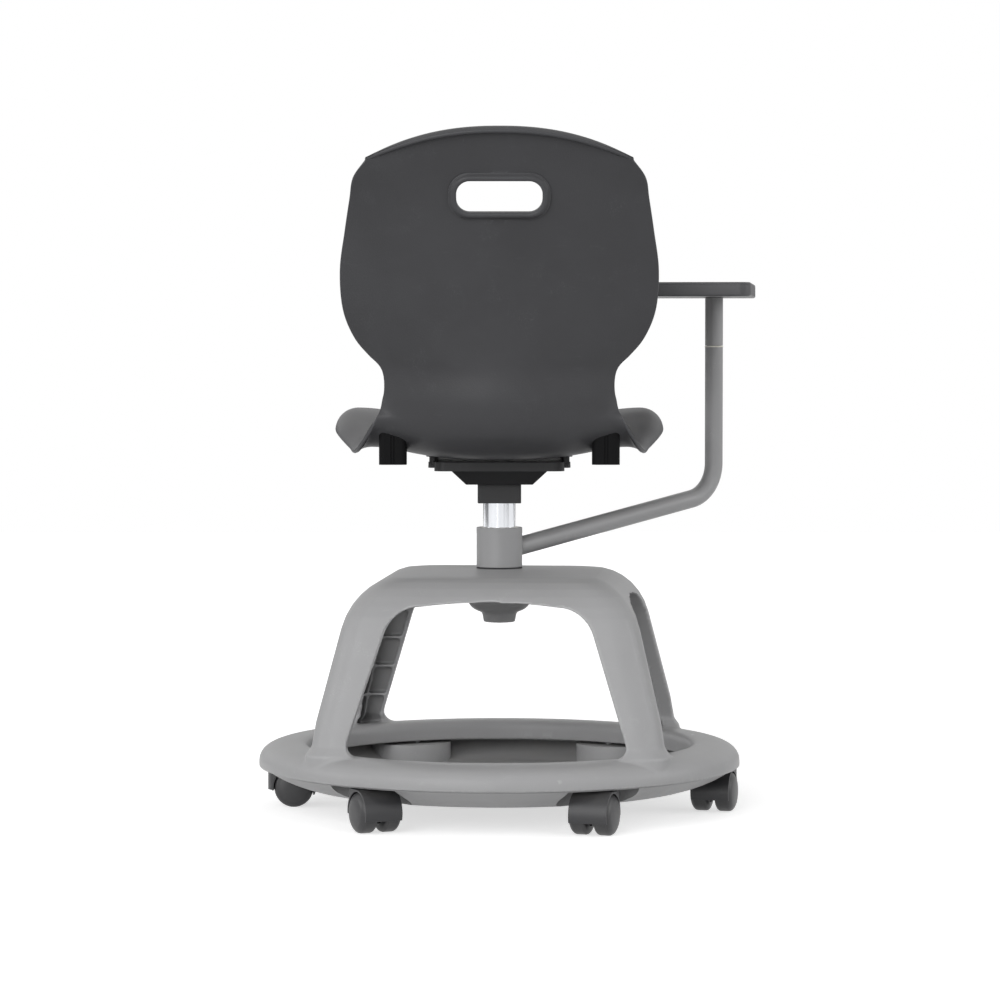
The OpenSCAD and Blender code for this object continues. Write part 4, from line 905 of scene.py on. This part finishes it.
# the plate lies in a recess with 0.3 mm of room, and its screws in bores
PLATE_X, PLATE_ROOM, SCREW_X, SCREW_Y, SCREW_R = -22, (60.3, 45.3, 10.3), 48, 33, 2.2
screw_low, screw_high = TABLET_LOW + 2, TABLET_LOW + 12.3
recess = stacked("plate_recess", [[(x + PLATE_X, y, z) for x, y in rounded_outline(*PLATE_ROOM, 8)]
                                  for z in (TABLET_LOW - 2, TABLET_LOW + 3.1)])
combine(board, recess, "DIFFERENCE")
for x in (PLATE_X - SCREW_X, PLATE_X + SCREW_X):
    for y in (-SCREW_Y, SCREW_Y):
        hole = turned("screw_hole", [(0, screw_low), (SCREW_R, screw_low), (SCREW_R, screw_high),
                                     (0, screw_high)], 24)
        hole.data.transform(Matrix.Translation((x * MM, y * MM, 0)))
        combine(board, hole, "DIFFERENCE")
board.data.transform(tablet_place)
tablet_board = moulded_plastic(
    "charcoal_board", tint(60, 60, 62), tint(92, 93, 96), rough=0.42, cycles=1500,
    depth=0.03 * MM, marks=0.4, dust=0.05, rub=0.25)
finish_piece(board, tablet_board, "tablet", "tablet_board", "tablet_top", sharp=50)

# Floor, light and camera
# A plain pale floor and white walls, wide soft lamps behind the camera and at both sides, and dark
# panels low round the studio, which show only in polished metal.
FLOOR_HALF, FLOOR_GLOW = 6, 0.62
WALL_LIGHT, WALL_SEEN = 0.34, 0.66
floor_corners = [(x * FLOOR_HALF, y * FLOOR_HALF, 0) for x, y in ((-1, -1), (1, -1), (1, 1), (-1, 1))]
floor_mesh = bpy.data.meshes.new("floor")
floor_mesh.from_pydata(floor_corners, [], [(0, 1, 2, 3)])
floor = new_piece("floor", floor_mesh)
floor_paint = bpy.data.materials.new("pale_floor")
floor_paint.use_nodes = True
floor_shader = floor_paint.node_tree.nodes["Principled BSDF"]
floor_shader.inputs["Base Color"].default_value = tint(216, 216, 216)
floor_shader.inputs["Roughness"].default_value = 0.9
floor_shader.inputs["Emission Color"].default_value = (1, 1, 1, 1)
floor_mesh.materials.append(floor_paint)


def seen_directly(tree):
    """One for rays that the camera, a gloss or glass sends out, and zero for diffuse light."""
    path = tree.nodes.new("ShaderNodeLightPath")
    return math_node(tree, "MAXIMUM", path.outputs["Is Camera Ray"], math_node(
        tree, "MAXIMUM", path.outputs["Is Glossy Ray"], path.outputs["Is Transmission Ray"]))


floor_tree = floor_paint.node_tree
floor_tree.links.new(math_node(floor_tree, "MULTIPLY", seen_directly(floor_tree), FLOOR_GLOW),
                     floor_shader.inputs["Emission Strength"])
world = bpy.data.worlds.new("studio")
scene.world = world
world.use_nodes = True
sky = world.node_tree
backdrop = sky.nodes["Background"]
backdrop.inputs["Color"].default_value = (1, 1, 1, 1)


def studio_panels(tree):
    """How much darker low panels round the studio look than its walls, in polished metal.

    The panels stand at the left, to the right of the middle, and at the right, near the horizon."""
    way = tree.nodes.new("ShaderNodeSeparateXYZ")
    tree.links.new(tree.nodes.new("ShaderNodeTexCoord").outputs["Generated"], way.inputs["Vector"])
    ahead = math_node(tree, "MULTIPLY", way.outputs["Y"], -1.0)
    turn = math_node(tree, "ARCTAN2", way.outputs["X"], ahead)
    left = spread(tree, turn, math.radians(-92), math.radians(-78), 0.85, 0.0)
    middle = math_node(tree, "MULTIPLY",
                       spread(tree, turn, math.radians(26), math.radians(34), 0.0, 0.5),
                       spread(tree, turn, math.radians(68), math.radians(76), 1.0, 0.0))
    right = spread(tree, turn, math.radians(112), math.radians(122), 0.0, 0.65)
    off_line = math_node(tree, "ABSOLUTE", math_node(tree, "ADD", way.outputs["Z"], 0.05))
    low = spread(tree, off_line, 0.08, 0.16, 1.0, 0.0)
    panels = math_node(tree, "ADD", math_node(tree, "ADD", left, middle), right)
    return math_node(tree, "MULTIPLY", panels, low)


walls = math_node(sky, "MULTIPLY_ADD", seen_directly(sky), WALL_SEEN, WALL_LIGHT)
glossy = sky.nodes.new("ShaderNodeLightPath").outputs["Is Glossy Ray"]
shaded = math_node(sky, "MULTIPLY", glossy, studio_panels(sky))
sky.links.new(math_node(sky, "MULTIPLY", walls, math_node(sky, "SUBTRACT", 1.0, shaded)),
              backdrop.inputs["Strength"])


def lamp(name, azimuth, height, width, strength):
    """A wide soft light from a direction, in degrees round from the camera's side and up."""
    light = bpy.data.lights.new(name, "SUN")
    light.angle = math.radians(width)
    light.energy = strength
    made = bpy.data.objects.new(name, light)
    made.rotation_euler = (math.radians(90 - height), 0, math.radians(azimuth))
    scene.collection.objects.link(made)


lamp("key_lamp", azimuth=-28, height=26, width=44, strength=1.45)
lamp("front_lamp", azimuth=-14, height=10, width=24, strength=0.4)
lamp("fill_lamp", azimuth=44, height=22, width=40, strength=0.35)
lamp("top_lamp", azimuth=10, height=74, width=60, strength=0.12)
lamp("left_lamp", azimuth=-86, height=18, width=26, strength=0.5)
lamp("right_lamp", azimuth=86, height=18, width=26, strength=0.6)

CAMERA_TILT = 2.602
camera_data = bpy.data.cameras.new("camera")
camera = bpy.data.objects.new("camera", camera_data)
scene.collection.objects.link(camera)
camera_data.sensor_width = 36
camera_data.lens = 134.68
camera_data.clip_end = 100
camera.location = (0.0007, -4.414, 0.565)
camera.rotation_euler = (math.radians(90 - CAMERA_TILT), 0, 0)
scene.camera = camera
scene.view_settings.view_transform = "Standard"
